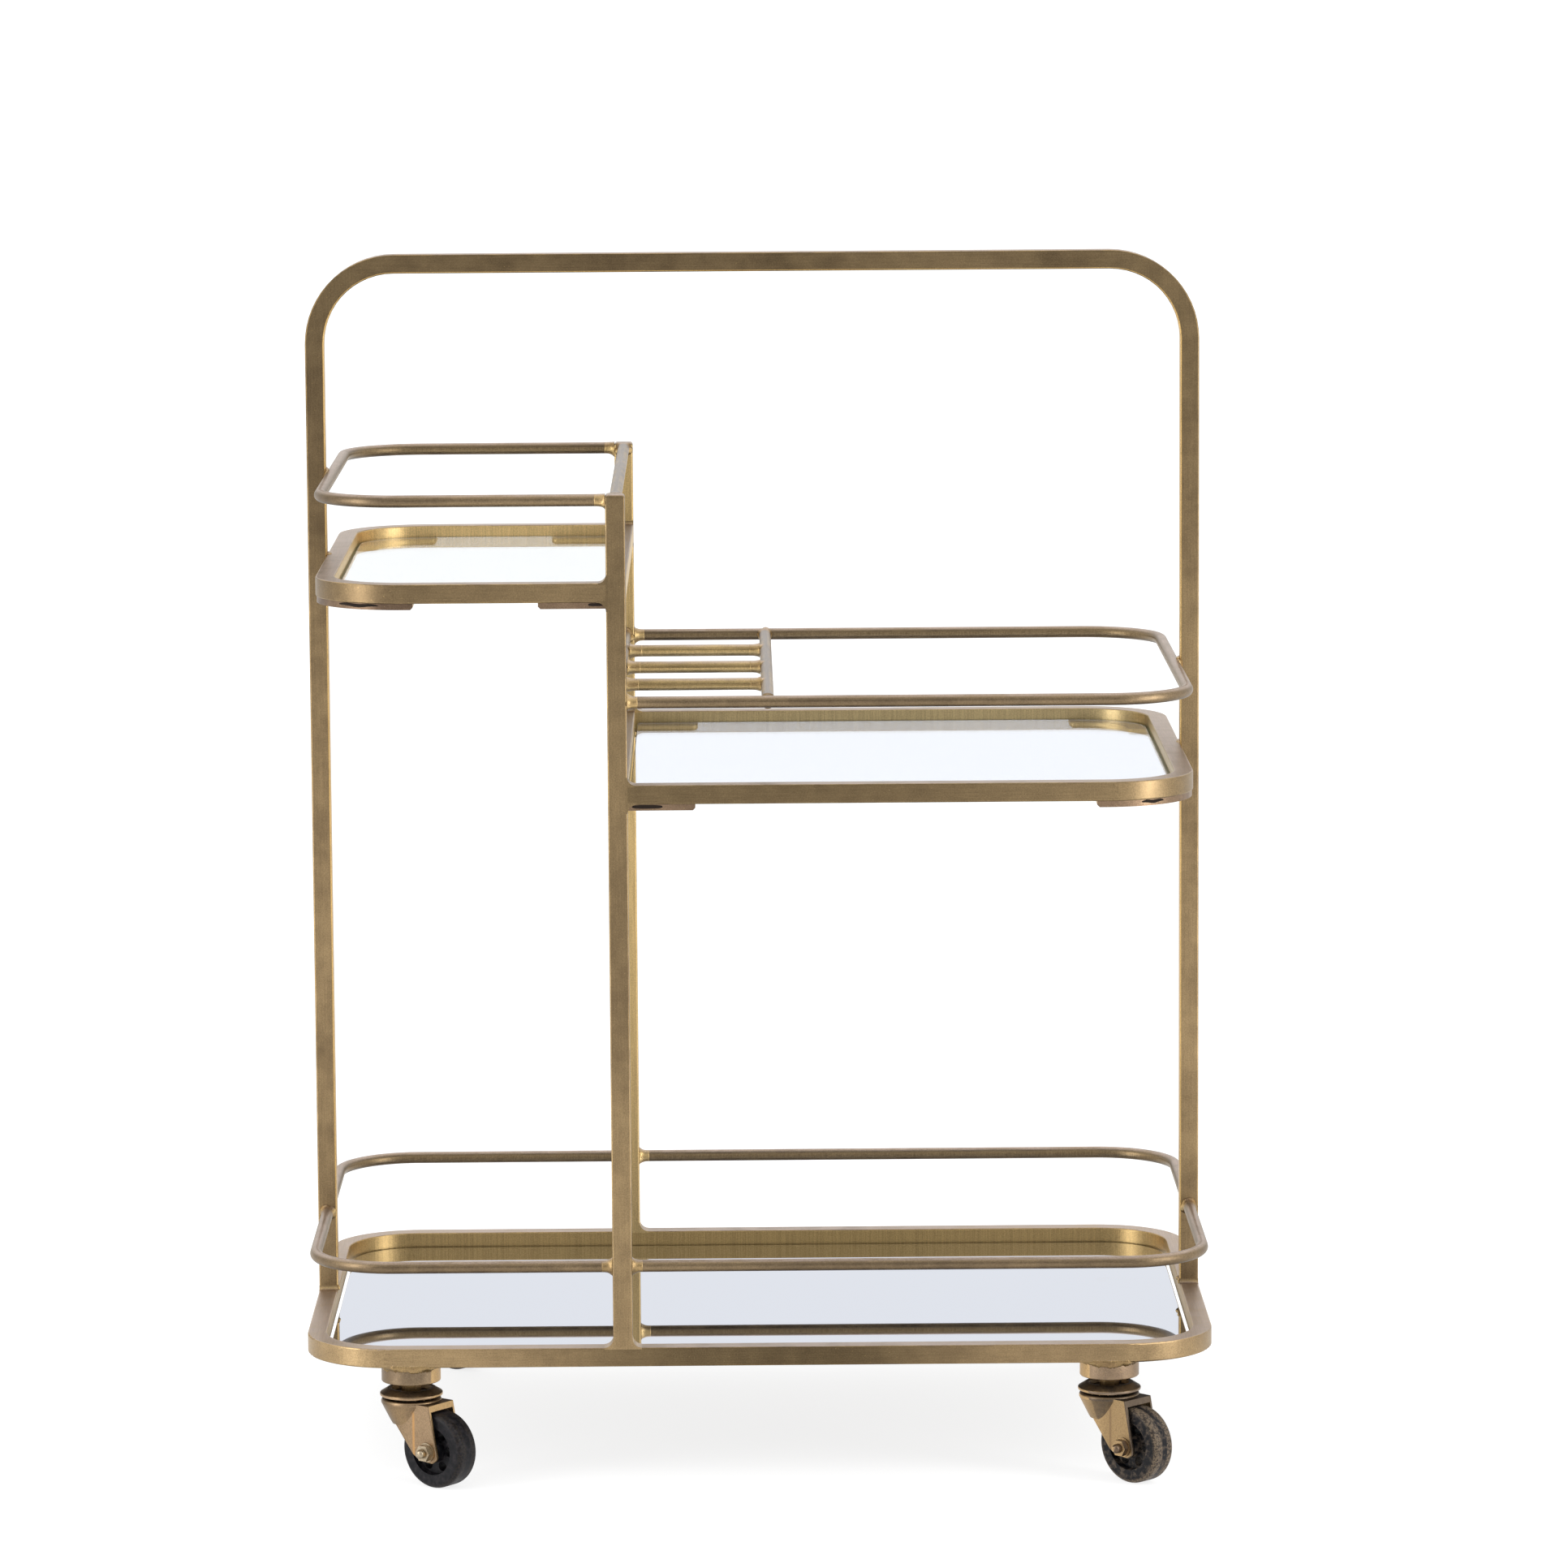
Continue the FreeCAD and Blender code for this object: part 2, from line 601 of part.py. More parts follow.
def make_ball_ring(corner):
    """The swivel's balls, which go round with the fork."""
    x, y = caster_place(corner)
    body = new_body(f"{corner}_ball_ring", x, y, "cup_level", TURNS[corner])
    ball = body.newObject("PartDesign::AdditiveSphere", "Ball")
    bind(ball, "Radius", "ball_diameter / 2")
    bind(ball, "Placement.Base.x", "ball_circle / 2")
    doc.recompute()
    pattern = body.newObject("PartDesign::PolarPattern", "Balls")
    pattern.Originals = [ball]
    pattern.Axis = (next(item for item in body.Origin.OriginFeatures if item.Role == "Z_Axis"), [""])
    pattern.Angle = 360
    pattern.Occurrences = BALLS
    body.Tip = pattern
    doc.recompute()


def make_fork(corner):
    """Pressed fork: a round cup and cone, two slanted legs, and a bridge over the wheel."""
    x, y = caster_place(corner)
    body = new_body(f"{corner}_fork", x, y, turn=TURNS[corner])
    cone_foot = "cup_level - cup_wall - cone_height"
    cup = new_sketch(body, "XZ_Plane")
    polygon(cup, [
        ("0", cone_foot),
        ("fork_width / 2", cone_foot),
        ("cup_diameter / 2", "cup_level - cup_wall"),
        ("cup_diameter / 2", "cup_level"),
        ("0", "cup_level"),
    ])
    turned(body, cup)
    cup_top = value("cup_level")
    ease(body, "cup_edge", lambda edge: lies_at(edge, "Z", cup_top))
    legs = new_sketch(body, "XZ_Plane")
    polygon(legs, [
        ("0 - fork_width / 2", "cup_level - bridge_drop"),
        ("0 - fork_width / 2", "cup_level - cup_wall - leg_shoulder"),
        ("trail - shin_ahead", "wheel_radius - shin_drop"),
        ("trail - toe_ahead", "wheel_radius - toe_drop"),
        ("trail + heel_behind", "wheel_radius - heel_drop"),
        ("trail + calf_behind", "wheel_radius - calf_drop"),
        ("trail + bridge_end", "cup_level - bridge_drop"),
    ])
    pad(body, legs, "fork_width", both_ways=True)
    axle_level = value("wheel_radius")
    ease(body, "leg_corner", lambda edge: spans(edge, "Y", "fork_width") and edge.BoundBox.ZMax < axle_level)
    channel = new_sketch(body, "XZ_Plane")
    rectangle(channel, "0 - cup_diameter", "2 * trail + cup_diameter", "0 - wheel_radius", "web_level")
    cut(body, channel, "2 * leg_inside")
    outside = (value("0 - fork_width / 2"), value("fork_width / 2"))
    ease(body, "leg_edge", lambda edge: lies_at(edge, "Y", *outside) and edge.BoundBox.ZMax < axle_level)
    kingpin_hole = new_sketch(body, "XY_Plane", "web_level")
    circle(kingpin_hole, "kingpin_diameter + 2 * running_fit")
    cut(body, kingpin_hole)
    axle_holes = new_sketch(body, "XZ_Plane")
    circle(axle_holes, "axle_diameter + 2 * thread_clearance", "trail", "wheel_radius")
    cut(body, axle_holes)
    groove = new_sketch(body, "XZ_Plane")
    circle(groove, "ball_diameter + 2 * ball_seat", "ball_circle / 2", "cup_level")
    cut(body, groove, kind="PartDesign::Groove")


def across_axle(corner, label):
    """A body at the wheel's middle, whose XZ plane is square to the axle."""
    x, y = caster_place(corner)
    turn = math.radians(TURNS[corner])
    x = f"{x} + {math.cos(turn):.9f} * trail"
    y = f"{y} + {math.sin(turn):.9f} * trail"
    return new_body(f"{corner}_{label}", x, y, "wheel_radius", TURNS[corner])


def make_axle_bolt(corner):
    """Bolt with a hexagon head on its far side and a domed end on the near side."""
    body = across_axle(corner, "axle_bolt")
    head = new_sketch(body, "XZ_Plane", "0 - fork_width / 2 - head_height")
    hexagon(head, "nut_flats")
    pad(body, head, "head_height")
    shank = new_sketch(body, "XZ_Plane", "0 - fork_width / 2")
    circle(shank, "axle_diameter")
    pad(body, shank, "fork_width / 2 + bolt_tip")
    tip = value("0 - bolt_tip")
    ease(body, "bolt_dome", lambda edge: lies_at(edge, "Y", tip))


def make_axle_nut(corner):
    """Hexagon nut with a round flange against the fork."""
    body = across_axle(corner, "axle_nut")
    flange = new_sketch(body, "XZ_Plane", "fork_width / 2")
    circle(flange, "flange_diameter")
    circle(flange, "axle_diameter + 2 * thread_clearance")
    pad(body, flange, "flange_thickness")
    sketch = new_sketch(body, "XZ_Plane", "fork_width / 2")
    hexagon(sketch, "nut_flats")
    circle(sketch, "axle_diameter + 2 * thread_clearance")
    pad(body, sketch, "nut_height")


def make_axle_sleeve(corner):
    """The sleeve that the bolt clamps between the legs."""
    body = across_axle(corner, "axle_sleeve")
    sketch = new_sketch(body, "XZ_Plane")
    circle(sketch, "sleeve_diameter")
    circle(sketch, "axle_diameter + 2 * thread_clearance")
    pad(body, sketch, "2 * leg_inside", both_ways=True)


def make_wheel(corner):
    """Moulded wheel: rounded tread, outer ring, a thinner web with openings, and a hub."""
    body = across_axle(corner, "wheel")
    section = new_sketch(body, "XY_Plane")
    bore = "sleeve_diameter / 2 + running_fit"
    hub_side = "leg_inside - hub_side_clearance"
    right = [
        (bore, hub_side),
        ("hub_diameter / 2", hub_side),
        ("hub_diameter / 2 + recess_draft", "wheel_web / 2"),
        ("wheel_ring / 2 - recess_draft", "wheel_web / 2"),
        ("wheel_ring / 2", "wheel_width / 2"),
        ("wheel_radius", "wheel_width / 2"),
    ]
    left = [(radius, f"0 - ({side})") for radius, side in reversed(right)]
    polygon(section, right + left)
    turned(body, section)
    ease(body, "shoulder_radius", lambda edge: spans(edge, "Z", "wheel_diameter"))
    opening = new_sketch(body, "XZ_Plane")
    circle(opening, "opening_diameter", "(wheel_ring + hub_diameter) / 4", "0")
    pocket = cut(body, opening)
    pattern = body.newObject("PartDesign::PolarPattern", "Openings")
    pattern.Originals = [pocket]
    pattern.Axis = (next(item for item in body.Origin.OriginFeatures if item.Role == "Y_Axis"), [""])
    pattern.Angle = 360
    pattern.Occurrences = WHEEL_OPENINGS
    body.Tip = pattern
    doc.recompute()


def make_frame():
    make_tray_frame()
    make_handle_hoop()
    make_post("front_post", -1)
    make_post("rear_post", 1)
    make_shelf_frame("top_shelf_frame", "top_level", "post_left", "0 - shelf_end")
    make_shelf_frame("mid_shelf_frame", "mid_level", "post_right", "shelf_end")
    make_shelf_crossbar("top_shelf_crossbar", "top_level")
    make_shelf_crossbar("mid_shelf_crossbar", "mid_level")
    make_end_rail("top_rail", "top_level", "post_left", "0 - rail_end")
    make_end_rail("mid_rail", "mid_level", "post_right", "rail_end")
    make_post_rod("top_rail_crossbar", "top_level")
    make_post_rod("mid_rail_crossbar", "mid_level")
    make_grid_crossbar()
    make_grid_rods()
    corner_rail = "half_length - half_bar"
    make_tray_rail("front_left_tray_rail", "post_left", f"0 - ({corner_rail})", -1)
    make_tray_rail("rear_left_tray_rail", "post_left", f"0 - ({corner_rail})", 1)
    make_tray_rail("front_right_tray_rail", "post_right", corner_rail, -1)
    make_tray_rail("rear_right_tray_rail", "post_right", corner_rail, 1)


def make_sheets():
    make_glass_tabs("top_glass_tabs", "top_level", "post_left", -1)
    make_glass_tabs("mid_glass_tabs", "mid_level", "post_right", 1)
    make_glass("top_glass", "top_level", "post_left", -1)
    make_glass("mid_glass", "mid_level", "post_right", 1)
    make_tray_sheet("mirror_backing", "tray_level", "backing_thickness")
    make_tray_sheet("tray_mirror", "tray_level + backing_thickness", "mirror_thickness")


def make_caster(corner):
    make_collar(corner)
    make_stem(corner)
    make_top_race(corner)
    make_ball_ring(corner)
    make_fork(corner)
    make_axle_bolt(corner)
    make_axle_nut(corner)
    make_axle_sleeve(corner)
    make_wheel(corner)


def check():
    """Stops if any object failed to compute or any piece has no sound solid."""
    doc.recompute()
    for thing in doc.Objects:
        if {"Invalid", "Error"} & set(thing.State):
            raise RuntimeError(f"{thing.Label} failed: {thing.State}")
    for body in nodes:
        if body.Shape.isNull() or not body.Shape.isValid() or not body.Shape.Solids:
            raise RuntimeError(f"{body.Label} has no valid solid")


def export():
    os.makedirs("parts", exist_ok=True)
    for body in nodes:
        body.Shape.exportStep(f"parts/{body.Label}.step")


fill_sheet()
make_frame()
make_sheets()
for corner_name in CASTERS:
    make_caster(corner_name)
check()
export()
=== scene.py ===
import math

import bmesh
import bpy
import numpy as np
from mathutils import Matrix, Vector


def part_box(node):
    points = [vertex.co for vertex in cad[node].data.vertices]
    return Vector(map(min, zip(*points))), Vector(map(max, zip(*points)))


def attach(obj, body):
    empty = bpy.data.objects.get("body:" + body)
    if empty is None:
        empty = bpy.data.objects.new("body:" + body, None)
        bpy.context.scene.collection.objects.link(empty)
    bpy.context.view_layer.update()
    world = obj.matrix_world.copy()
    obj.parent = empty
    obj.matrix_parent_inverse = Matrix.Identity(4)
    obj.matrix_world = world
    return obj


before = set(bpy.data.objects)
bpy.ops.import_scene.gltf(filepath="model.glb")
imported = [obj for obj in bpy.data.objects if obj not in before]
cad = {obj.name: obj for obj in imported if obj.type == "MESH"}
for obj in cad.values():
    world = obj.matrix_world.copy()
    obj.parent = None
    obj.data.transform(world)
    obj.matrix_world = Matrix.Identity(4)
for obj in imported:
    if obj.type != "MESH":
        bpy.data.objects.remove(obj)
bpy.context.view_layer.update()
scene = bpy.context.scene

MM = 0.001
BAR = 12.7 * MM
HALF_BAR = BAR / 2
ROD_RADIUS = 4 * MM
RING_BEND = 60 * MM
# How far the tabs' outer edges stand back from the rings'
TAB_SETBACK = 0.8 * MM
CORNERS = ("front_left", "front_right", "rear_left", "rear_right")
X, Y, Z = Vector((1, 0, 0)), Vector((0, 1, 0)), Vector((0, 0, 1))


def middle(node):
    """The middle of a piece's box."""
    low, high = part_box(node)
    return (low + high) / 2


# Faces and middles of the frame's pieces that the welds sit on, read from the pieces themselves
ring_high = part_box("tray_frame")[1]
post_low, post_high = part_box("front_post")
hoop_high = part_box("handle_hoop")[1]
mid_low, mid_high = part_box("mid_shelf_frame")
top_low, top_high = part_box("top_shelf_frame")
POST_X = middle("front_post").x
SIDE_Y = ring_high.y - HALF_BAR
INNER_Y = SIDE_Y - HALF_BAR
INNER_X = hoop_high.x - BAR
TRAY_RAIL_Z = middle("front_left_tray_rail").z
MID_RAIL_Z = middle("mid_rail").z
TOP_RAIL_Z = middle("top_rail").z


# Shader helpers

def tint(red, green, blue):
    """A colour given as 0 to 255 on a screen, as the linear colour that the shader wants."""
    screen = np.array([red, green, blue]) / 255
    linear = np.where(screen <= 0.04045, screen / 12.92, ((screen + 0.055) / 1.055) ** 2.4)
    return (*linear, 1.0)


def add(tree, kind, inputs=None, **settings):
    """A node with its settings, each input either set to a value or joined to another node's socket."""
    made = tree.nodes.new(kind)
    for name, setting in settings.items():
        setattr(made, name, setting)
    for key, given in (inputs or {}).items():
        if isinstance(given, bpy.types.NodeSocket):
            tree.links.new(given, made.inputs[key])
        else:
            made.inputs[key].default_value = given
    return made


def noise(tree, place, scale, detail, roughness):
    """Cloudy noise with about that many spots to a metre."""
    inputs = {"Vector": place, "Scale": scale, "Detail": detail, "Roughness": roughness}
    return add(tree, "ShaderNodeTexNoise", inputs).outputs["Fac"]


def ramp(tree, given, low, high, start=0.0, end=1.0):
    """Goes smoothly from start to end while the given value goes from low to high."""
    inputs = {"Value": given, "From Min": low, "From Max": high, "To Min": start, "To Max": end}
    return add(tree, "ShaderNodeMapRange", inputs, interpolation_type="SMOOTHSTEP").outputs["Result"]


def calc(tree, operation, first, second=0.0):
    """One sum, such as ADD or ABSOLUTE, on two numbers."""
    return add(tree, "ShaderNodeMath", {0: first, 1: second}, operation=operation).outputs["Value"]


def times(tree, first, second):
    """One number times another."""
    return calc(tree, "MULTIPLY", first, second)


def vectors(tree, operation, first, second=(0.0, 0.0, 0.0), output="Vector"):
    """One sum on two vectors, which puts out a vector or, as its Value, a number."""
    return add(tree, "ShaderNodeVectorMath", {0: first, 1: second}, operation=operation).outputs[output]


def part(tree, vector, axis):
    """One coordinate of a vector."""
    return add(tree, "ShaderNodeSeparateXYZ", {"Vector": vector}).outputs[axis]


def blend(tree, share, first, second):
    """The first colour where the share is 0, and the second where it is 1."""
    return add(tree, "ShaderNodeMix", {"Factor": share, 6: first, 7: second}, data_type="RGBA").outputs[2]


def between(tree, share, first, second):
    """The first number where the share is 0, and the second where it is 1."""
    return add(tree, "ShaderNodeMix", {"Factor": share, 2: first, 3: second}).outputs[0]


def toned(tree, colour, share):
    """The colour made lighter or darker by a share of itself."""
    grey = add(tree, "ShaderNodeCombineXYZ", {0: share, 1: share, 2: share}).outputs[0]
    return vectors(tree, "MULTIPLY", colour, grey)


def placed(tree, group, **inputs):
    """A node group placed in a tree, with its inputs set."""
    return add(tree, "ShaderNodeGroup", inputs, node_tree=groups[group]).outputs


def new_group(name, inputs, outputs):
    """An empty node group with those named sockets, and its input node's outputs."""
    tree = bpy.data.node_groups.new(name, "ShaderNodeTree")
    for socket, kind in inputs:
        tree.interface.new_socket(socket, in_out="INPUT", socket_type=f"NodeSocket{kind}")
    for socket, kind in outputs:
        tree.interface.new_socket(socket, in_out="OUTPUT", socket_type=f"NodeSocket{kind}")
    entry = tree.nodes.new("NodeGroupInput")
    return tree, entry.outputs


def close_group(tree, **outputs):
    """Joins a group's results to its named outputs."""
    leave = tree.nodes.new("NodeGroupOutput")
    for name, socket in outputs.items():
        tree.links.new(socket, leave.inputs[name])


# How many spots of each pattern there are to a metre, about
PATCHES, MOTTLE, WEAR, SPECKS, SATIN, LINES = 6, 60, 45, 620, 1100, 1300
GRAIN_DEPTH = 0.3 * MM


def brushed_grain():
    """Fine lines along the piece: noise that is very fine across the given direction and long along it."""
    tree, given = new_group("brushed grain", [("Place", "Vector"), ("Along", "Vector")], [("Lines", "Float")])
    stretch = 0.975
    along = vectors(tree, "NORMALIZE", given["Along"])
    run = vectors(tree, "DOT_PRODUCT", given["Place"], along, "Value")
    back = add(tree, "ShaderNodeVectorMath", {0: along, "Scale": times(tree, run, stretch)},
               operation="SCALE").outputs["Vector"]
    squeezed = vectors(tree, "SUBTRACT", given["Place"], back)
    close_group(tree, Lines=noise(tree, squeezed, LINES, 4, 0.6))
    return tree


def worn_edges():
    """One on the rounded long edges of a bar that lies in a plane, where its normal leans off that plane's
    axis, and nothing on its flat faces; broken up by noise."""
    tree, given = new_group("worn edges", [("Place", "Vector"), ("Normal", "Vector"), ("Axis", "Vector")],
                            [("Mask", "Float")])
    lean = calc(tree, "ABSOLUTE", vectors(tree, "DOT_PRODUCT", given["Normal"], given["Axis"], "Value"))
    rest = calc(tree, "SUBTRACT", 1.0, times(tree, lean, lean))
    off = calc(tree, "SQRT", calc(tree, "MAXIMUM", rest))
    edge = ramp(tree, calc(tree, "MINIMUM", lean, off), 0.10, 0.55)
    rubbed = ramp(tree, noise(tree, given["Place"], WEAR, 4, 0.6), 0.35, 0.62)
    close_group(tree, Mask=times(tree, edge, rubbed))
    return tree


def patchy(tree, given, mottle):
    """How brown the brass is at each place, and its colour from gold to brown."""
    patches = noise(tree, given["Place"], PATCHES, 2, 0.5)
    both = calc(tree, "ADD", times(tree, patches, 0.6), times(tree, mottle, 0.4))
    aged = times(tree, ramp(tree, both, 0.28, 0.72), given["Age"])
    return aged, blend(tree, aged, given["Gold"], given["Brown"])


def inner_walls(tree, given):
    """One on upright faces that look towards the centre."""
    towards = vectors(tree, "SUBTRACT", given["Centre"], given["Place"])
    inward = vectors(tree, "DOT_PRODUCT", given["Normal"], towards, "Value")
    level = calc(tree, "ABSOLUTE", part(tree, given["Normal"], "Z"))
    return times(tree, ramp(tree, inward, 0.0, 30 * MM), ramp(tree, level, 0.6, 0.3))


def grain_marks(tree, given, wall):
    """Brushed lines along the bar, and upright ones where the wall mask is one, about nothing."""
    lines = placed(tree, "grain", Place=given["Place"], Along=given["Along"])["Lines"]
    upright = placed(tree, "grain", Place=given["Place"], Along=tuple(Z))["Lines"]
    run = ramp(tree, lines, 0.3, 0.7, -0.5, 0.5)
    marks = between(tree, wall, run, ramp(tree, upright, 0.32, 0.68, -0.7, 0.7))
    return times(tree, marks, given["Grain"])


def aged_brass():
    """Brass with an antique finish. Broad patches go from gold to brown, with small mottling, a satin
    grain, dark and bright specks and softly worn edges. Walls that face the centre are cleaner and ground
    across the bar, and those of them that face the back of the cart get painted shade. Faces that look up
    are dustier and lighter with a painted sheen of overhead light, and those that look down get painted
    shade. It puts out the colour, the roughness and the height of the grain."""
    tree, given = new_group(
        "aged brass",
        [("Place", "Vector"), ("Normal", "Vector"), ("Along", "Vector"), ("Axis", "Vector"),
         ("Centre", "Vector"), ("Gold", "Color"), ("Brown", "Color"), ("Clean", "Color"), ("Dust", "Color"),
         ("Age", "Float"), ("Tone", "Float"), ("Grain", "Float")],
        [("Color", "Color"), ("Roughness", "Float"), ("Height", "Float")])
    place, normal = given["Place"], given["Normal"]
    height = part(tree, normal, "Z")
    mottle = noise(tree, place, MOTTLE, 4, 0.62)
    satin = noise(tree, place, SATIN, 3, 0.6)
    specks = noise(tree, place, SPECKS, 2, 0.7)
    wall = inner_walls(tree, given)
    aged, colour = patchy(tree, given, mottle)

    # Painted shade: faces that look down are made darker, and the overall tone multiplies in as well
    painted_underside_shade = ramp(tree, height, -0.9, -0.2, 0.5, 1.0)
    colour = toned(tree, colour, times(tree, given["Tone"], painted_underside_shade))
    # Painted shade: inner walls that face the back of the cart, which are the front bars' walls, are made
    # down to half as light
    ground = toned(tree, given["Clean"], ramp(tree, part(tree, normal, "Y"), 0.0, 0.9, 1.0, 0.5))
    colour = blend(tree, times(tree, wall, 0.85), colour, ground)
    # Real dust and a painted sheen of overhead light: faces that look up blend towards the Dust colour
    dusty = times(tree, ramp(tree, height, 0.5, 0.95), ramp(tree, mottle, 0.3, 0.6, 0.5, 0.85))
    colour = blend(tree, dusty, colour, given["Dust"])
    worn = placed(tree, "edges", Place=place, Normal=normal, Axis=given["Axis"])["Mask"]
    colour = blend(tree, times(tree, worn, 0.3), colour, given["Clean"])

    marks = grain_marks(tree, given, wall)
    fine = ramp(tree, satin, 0.3, 0.7, -0.45, 0.45)
    shade = calc(tree, "ADD", marks, times(tree, fine, 0.34))
    colour = toned(tree, colour, calc(tree, "ADD", shade, 1.0))
    dark = times(tree, ramp(tree, specks, 0.66, 0.80), 0.4)
    bright = times(tree, ramp(tree, specks, 0.36, 0.24), 0.35)
    colour = blend(tree, dark, colour, SPECK)
    colour = blend(tree, bright, colour, given["Clean"])

    rough = calc(tree, "ADD", ramp(tree, satin, 0.3, 0.7, 0.33, 0.43), times(tree, aged, 0.06))
    relief = calc(tree, "ADD", marks, times(tree, satin, 0.6))
    close_group(tree, Color=colour, Roughness=rough, Height=calc(tree, "SUBTRACT", relief, dark))
    return tree


GOLD = tint(156, 133, 98)
BROWN = tint(112, 94, 70)
CLEAN = tint(205, 176, 122)
# Real dust and a painted sheen of overhead light, for faces that look up
DUST_AND_SHEEN = tint(178, 159, 145)
SPECK = tint(70, 54, 38)

groups = {}
groups["grain"] = brushed_grain()
groups["edges"] = worn_edges()
groups["brass"] = aged_brass()


def new_material(name):
    """A material, its node tree, its Principled shader, and the place and normal on the object."""
    material = bpy.data.materials.new(name)
    material.use_nodes = True
    tree = material.node_tree
    shader = next(item for item in tree.nodes if item.type == "BSDF_PRINCIPLED")
    where = add(tree, "ShaderNodeTexCoord")
    return material, tree, shader, where.outputs["Object"], where.outputs["Normal"]


def join_finish(tree, shader, made, strength):
    """Joins a finish's colour, roughness and height to a material's shader."""
    bumps = add(tree, "ShaderNodeBump",
                {"Strength": strength, "Distance": GRAIN_DEPTH, "Height": made["Height"]})
    tree.links.new(made["Color"], shader.inputs["Base Color"])
    tree.links.new(made["Roughness"], shader.inputs["Roughness"])
    tree.links.new(bumps.outputs["Normal"], shader.inputs["Normal"])


def choose_along(tree, place, first, second, axis, edge):
    """The direction of the grain: second where the place is further out than edge on the axis, else first."""
    out = calc(tree, "GREATER_THAN", calc(tree, "ABSOLUTE", part(tree, place, axis)), edge)
    choice = {"Factor": out, 4: tuple(first), 5: tuple(second)}
    return add(tree, "ShaderNodeMix", choice, data_type="VECTOR").outputs[1]


def toned_along(tree, place, axis, low, high, start, end):
    """A tone that goes from start to end while the place along the axis goes from low to high. An axis
    marked with a bar at both sides, such as |X|, counts the distance either way."""
    along = part(tree, place, axis.strip("|"))
    if axis.startswith("|"):
        along = calc(tree, "ABSOLUTE", along)
    return ramp(tree, along, low, high, start, end)


def brass(name, first, second=None, axis="X", edge=0.0, flat=Z, centre=(0, 0, 0), age=0.8, gold=GOLD,
          brown=BROWN, clean=CLEAN, dust=DUST_AND_SHEEN, tone=1.0, grain=0.16, bump=0.2):
    """Aged brass for one run or ring of bar. The grain runs along first, and along second past the edge on
    the axis. The ring lies square to flat and round the centre. The tone is a number, or what toned_along
    wants after the place."""
    material, tree, shader, place, normal = new_material(name)
    along = choose_along(tree, place, first, second, axis, edge) if second else tuple(first)
    shade = toned_along(tree, place, *tone) if isinstance(tone, tuple) else tone
    made = placed(tree, "brass", Place=place, Normal=normal, Along=along, Axis=tuple(flat),
                  Centre=tuple(centre), Gold=gold, Brown=brown, Clean=clean, Dust=dust, Age=age, Grain=grain,
                  Tone=shade)
    join_finish(tree, shader, made, bump)
    shader.inputs["Metallic"].default_value = 1.0
    return material


def clear_glass(name, face_colour):
    """Clear glass whose ground edges are greener than its faces, and that lets lamps through."""
    material, tree, shader, place, normal = new_material(name)
    level = calc(tree, "ABSOLUTE", part(tree, normal, "Z"))
    colour = blend(tree, ramp(tree, level, 0.4, 0.8), tint(46, 66, 58), face_colour)
    smears = ramp(tree, noise(tree, place, 16, 5, 0.6), 0.55, 0.8, 0.0, 0.03)
    ground = ramp(tree, level, 0.4, 0.8, 0.35, 0.0)
    tree.links.new(colour, shader.inputs["Base Color"])
    tree.links.new(calc(tree, "ADD", smears, ground), shader.inputs["Roughness"])
    shader.inputs["Transmission Weight"].default_value = 1.0
    shader.inputs["IOR"].default_value = 1.5
    clear = add(tree, "ShaderNodeBsdfTransparent", {"Color": (0.94, 0.96, 0.95, 1)})
    lamp = add(tree, "ShaderNodeLightPath").outputs["Is Shadow Ray"]
    mixed = add(tree, "ShaderNodeMixShader", {0: lamp, 1: shader.outputs[0], 2: clear.outputs[0]})
    end = next(item for item in tree.nodes if item.type == "OUTPUT_MATERIAL")
    tree.links.new(mixed.outputs[0], end.inputs["Surface"])
    return material


def mirror_sheet():
    """A silvered sheet with dark ground edges and a little clouding."""
    material, tree, shader, place, normal = new_material("mirror")
    face = ramp(tree, calc(tree, "ABSOLUTE", part(tree, normal, "Z")), 0.4, 0.9)
    cloud = ramp(tree, noise(tree, place, 14, 6, 0.65), 0.60, 0.82, 0.0, 0.16)
    silvered = blend(tree, cloud, tint(211, 215, 226), tint(203, 197, 187))
    tree.links.new(blend(tree, face, tint(52, 50, 50), silvered), shader.inputs["Base Color"])
    tree.links.new(ramp(tree, face, 0.0, 1.0, 0.45, 0.012), shader.inputs["Roughness"])
    shader.inputs["Metallic"].default_value = 1.0
    return material


def paint(name, first, second):
    """Flat paint that is clouded between two colours, also used for dark painted shade."""
    material, tree, shader, place, _ = new_material(name)
    cloud = noise(tree, place, 120, 4, 0.6)
    tree.links.new(blend(tree, cloud, first, second), shader.inputs["Base Color"])
    shader.inputs["Roughness"].default_value = 0.8
    shader.inputs["Specular IOR Level"].default_value = 0.15
    return material


# Mesh helpers

DOUBLES = 0.0002 * MM
FLUSH_WIDTH = BAR + 0.06 * MM
NO_CEILING = 1.0


def put(mesh, body, material, name):
    """Merges the mesh's doubles, turns its faces outwards and rides it on a body."""
    work = bmesh.new()
    work.from_mesh(mesh)
    bmesh.ops.remove_doubles(work, verts=work.verts, dist=DOUBLES)
    bmesh.ops.recalc_face_normals(work, faces=work.faces)
    work.to_mesh(mesh)
    work.free()
    mesh.shade_smooth()
    mesh.materials.append(material)
    piece = bpy.data.objects.new(name, mesh)
    scene.collection.objects.link(piece)
    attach(piece, body)
    return piece


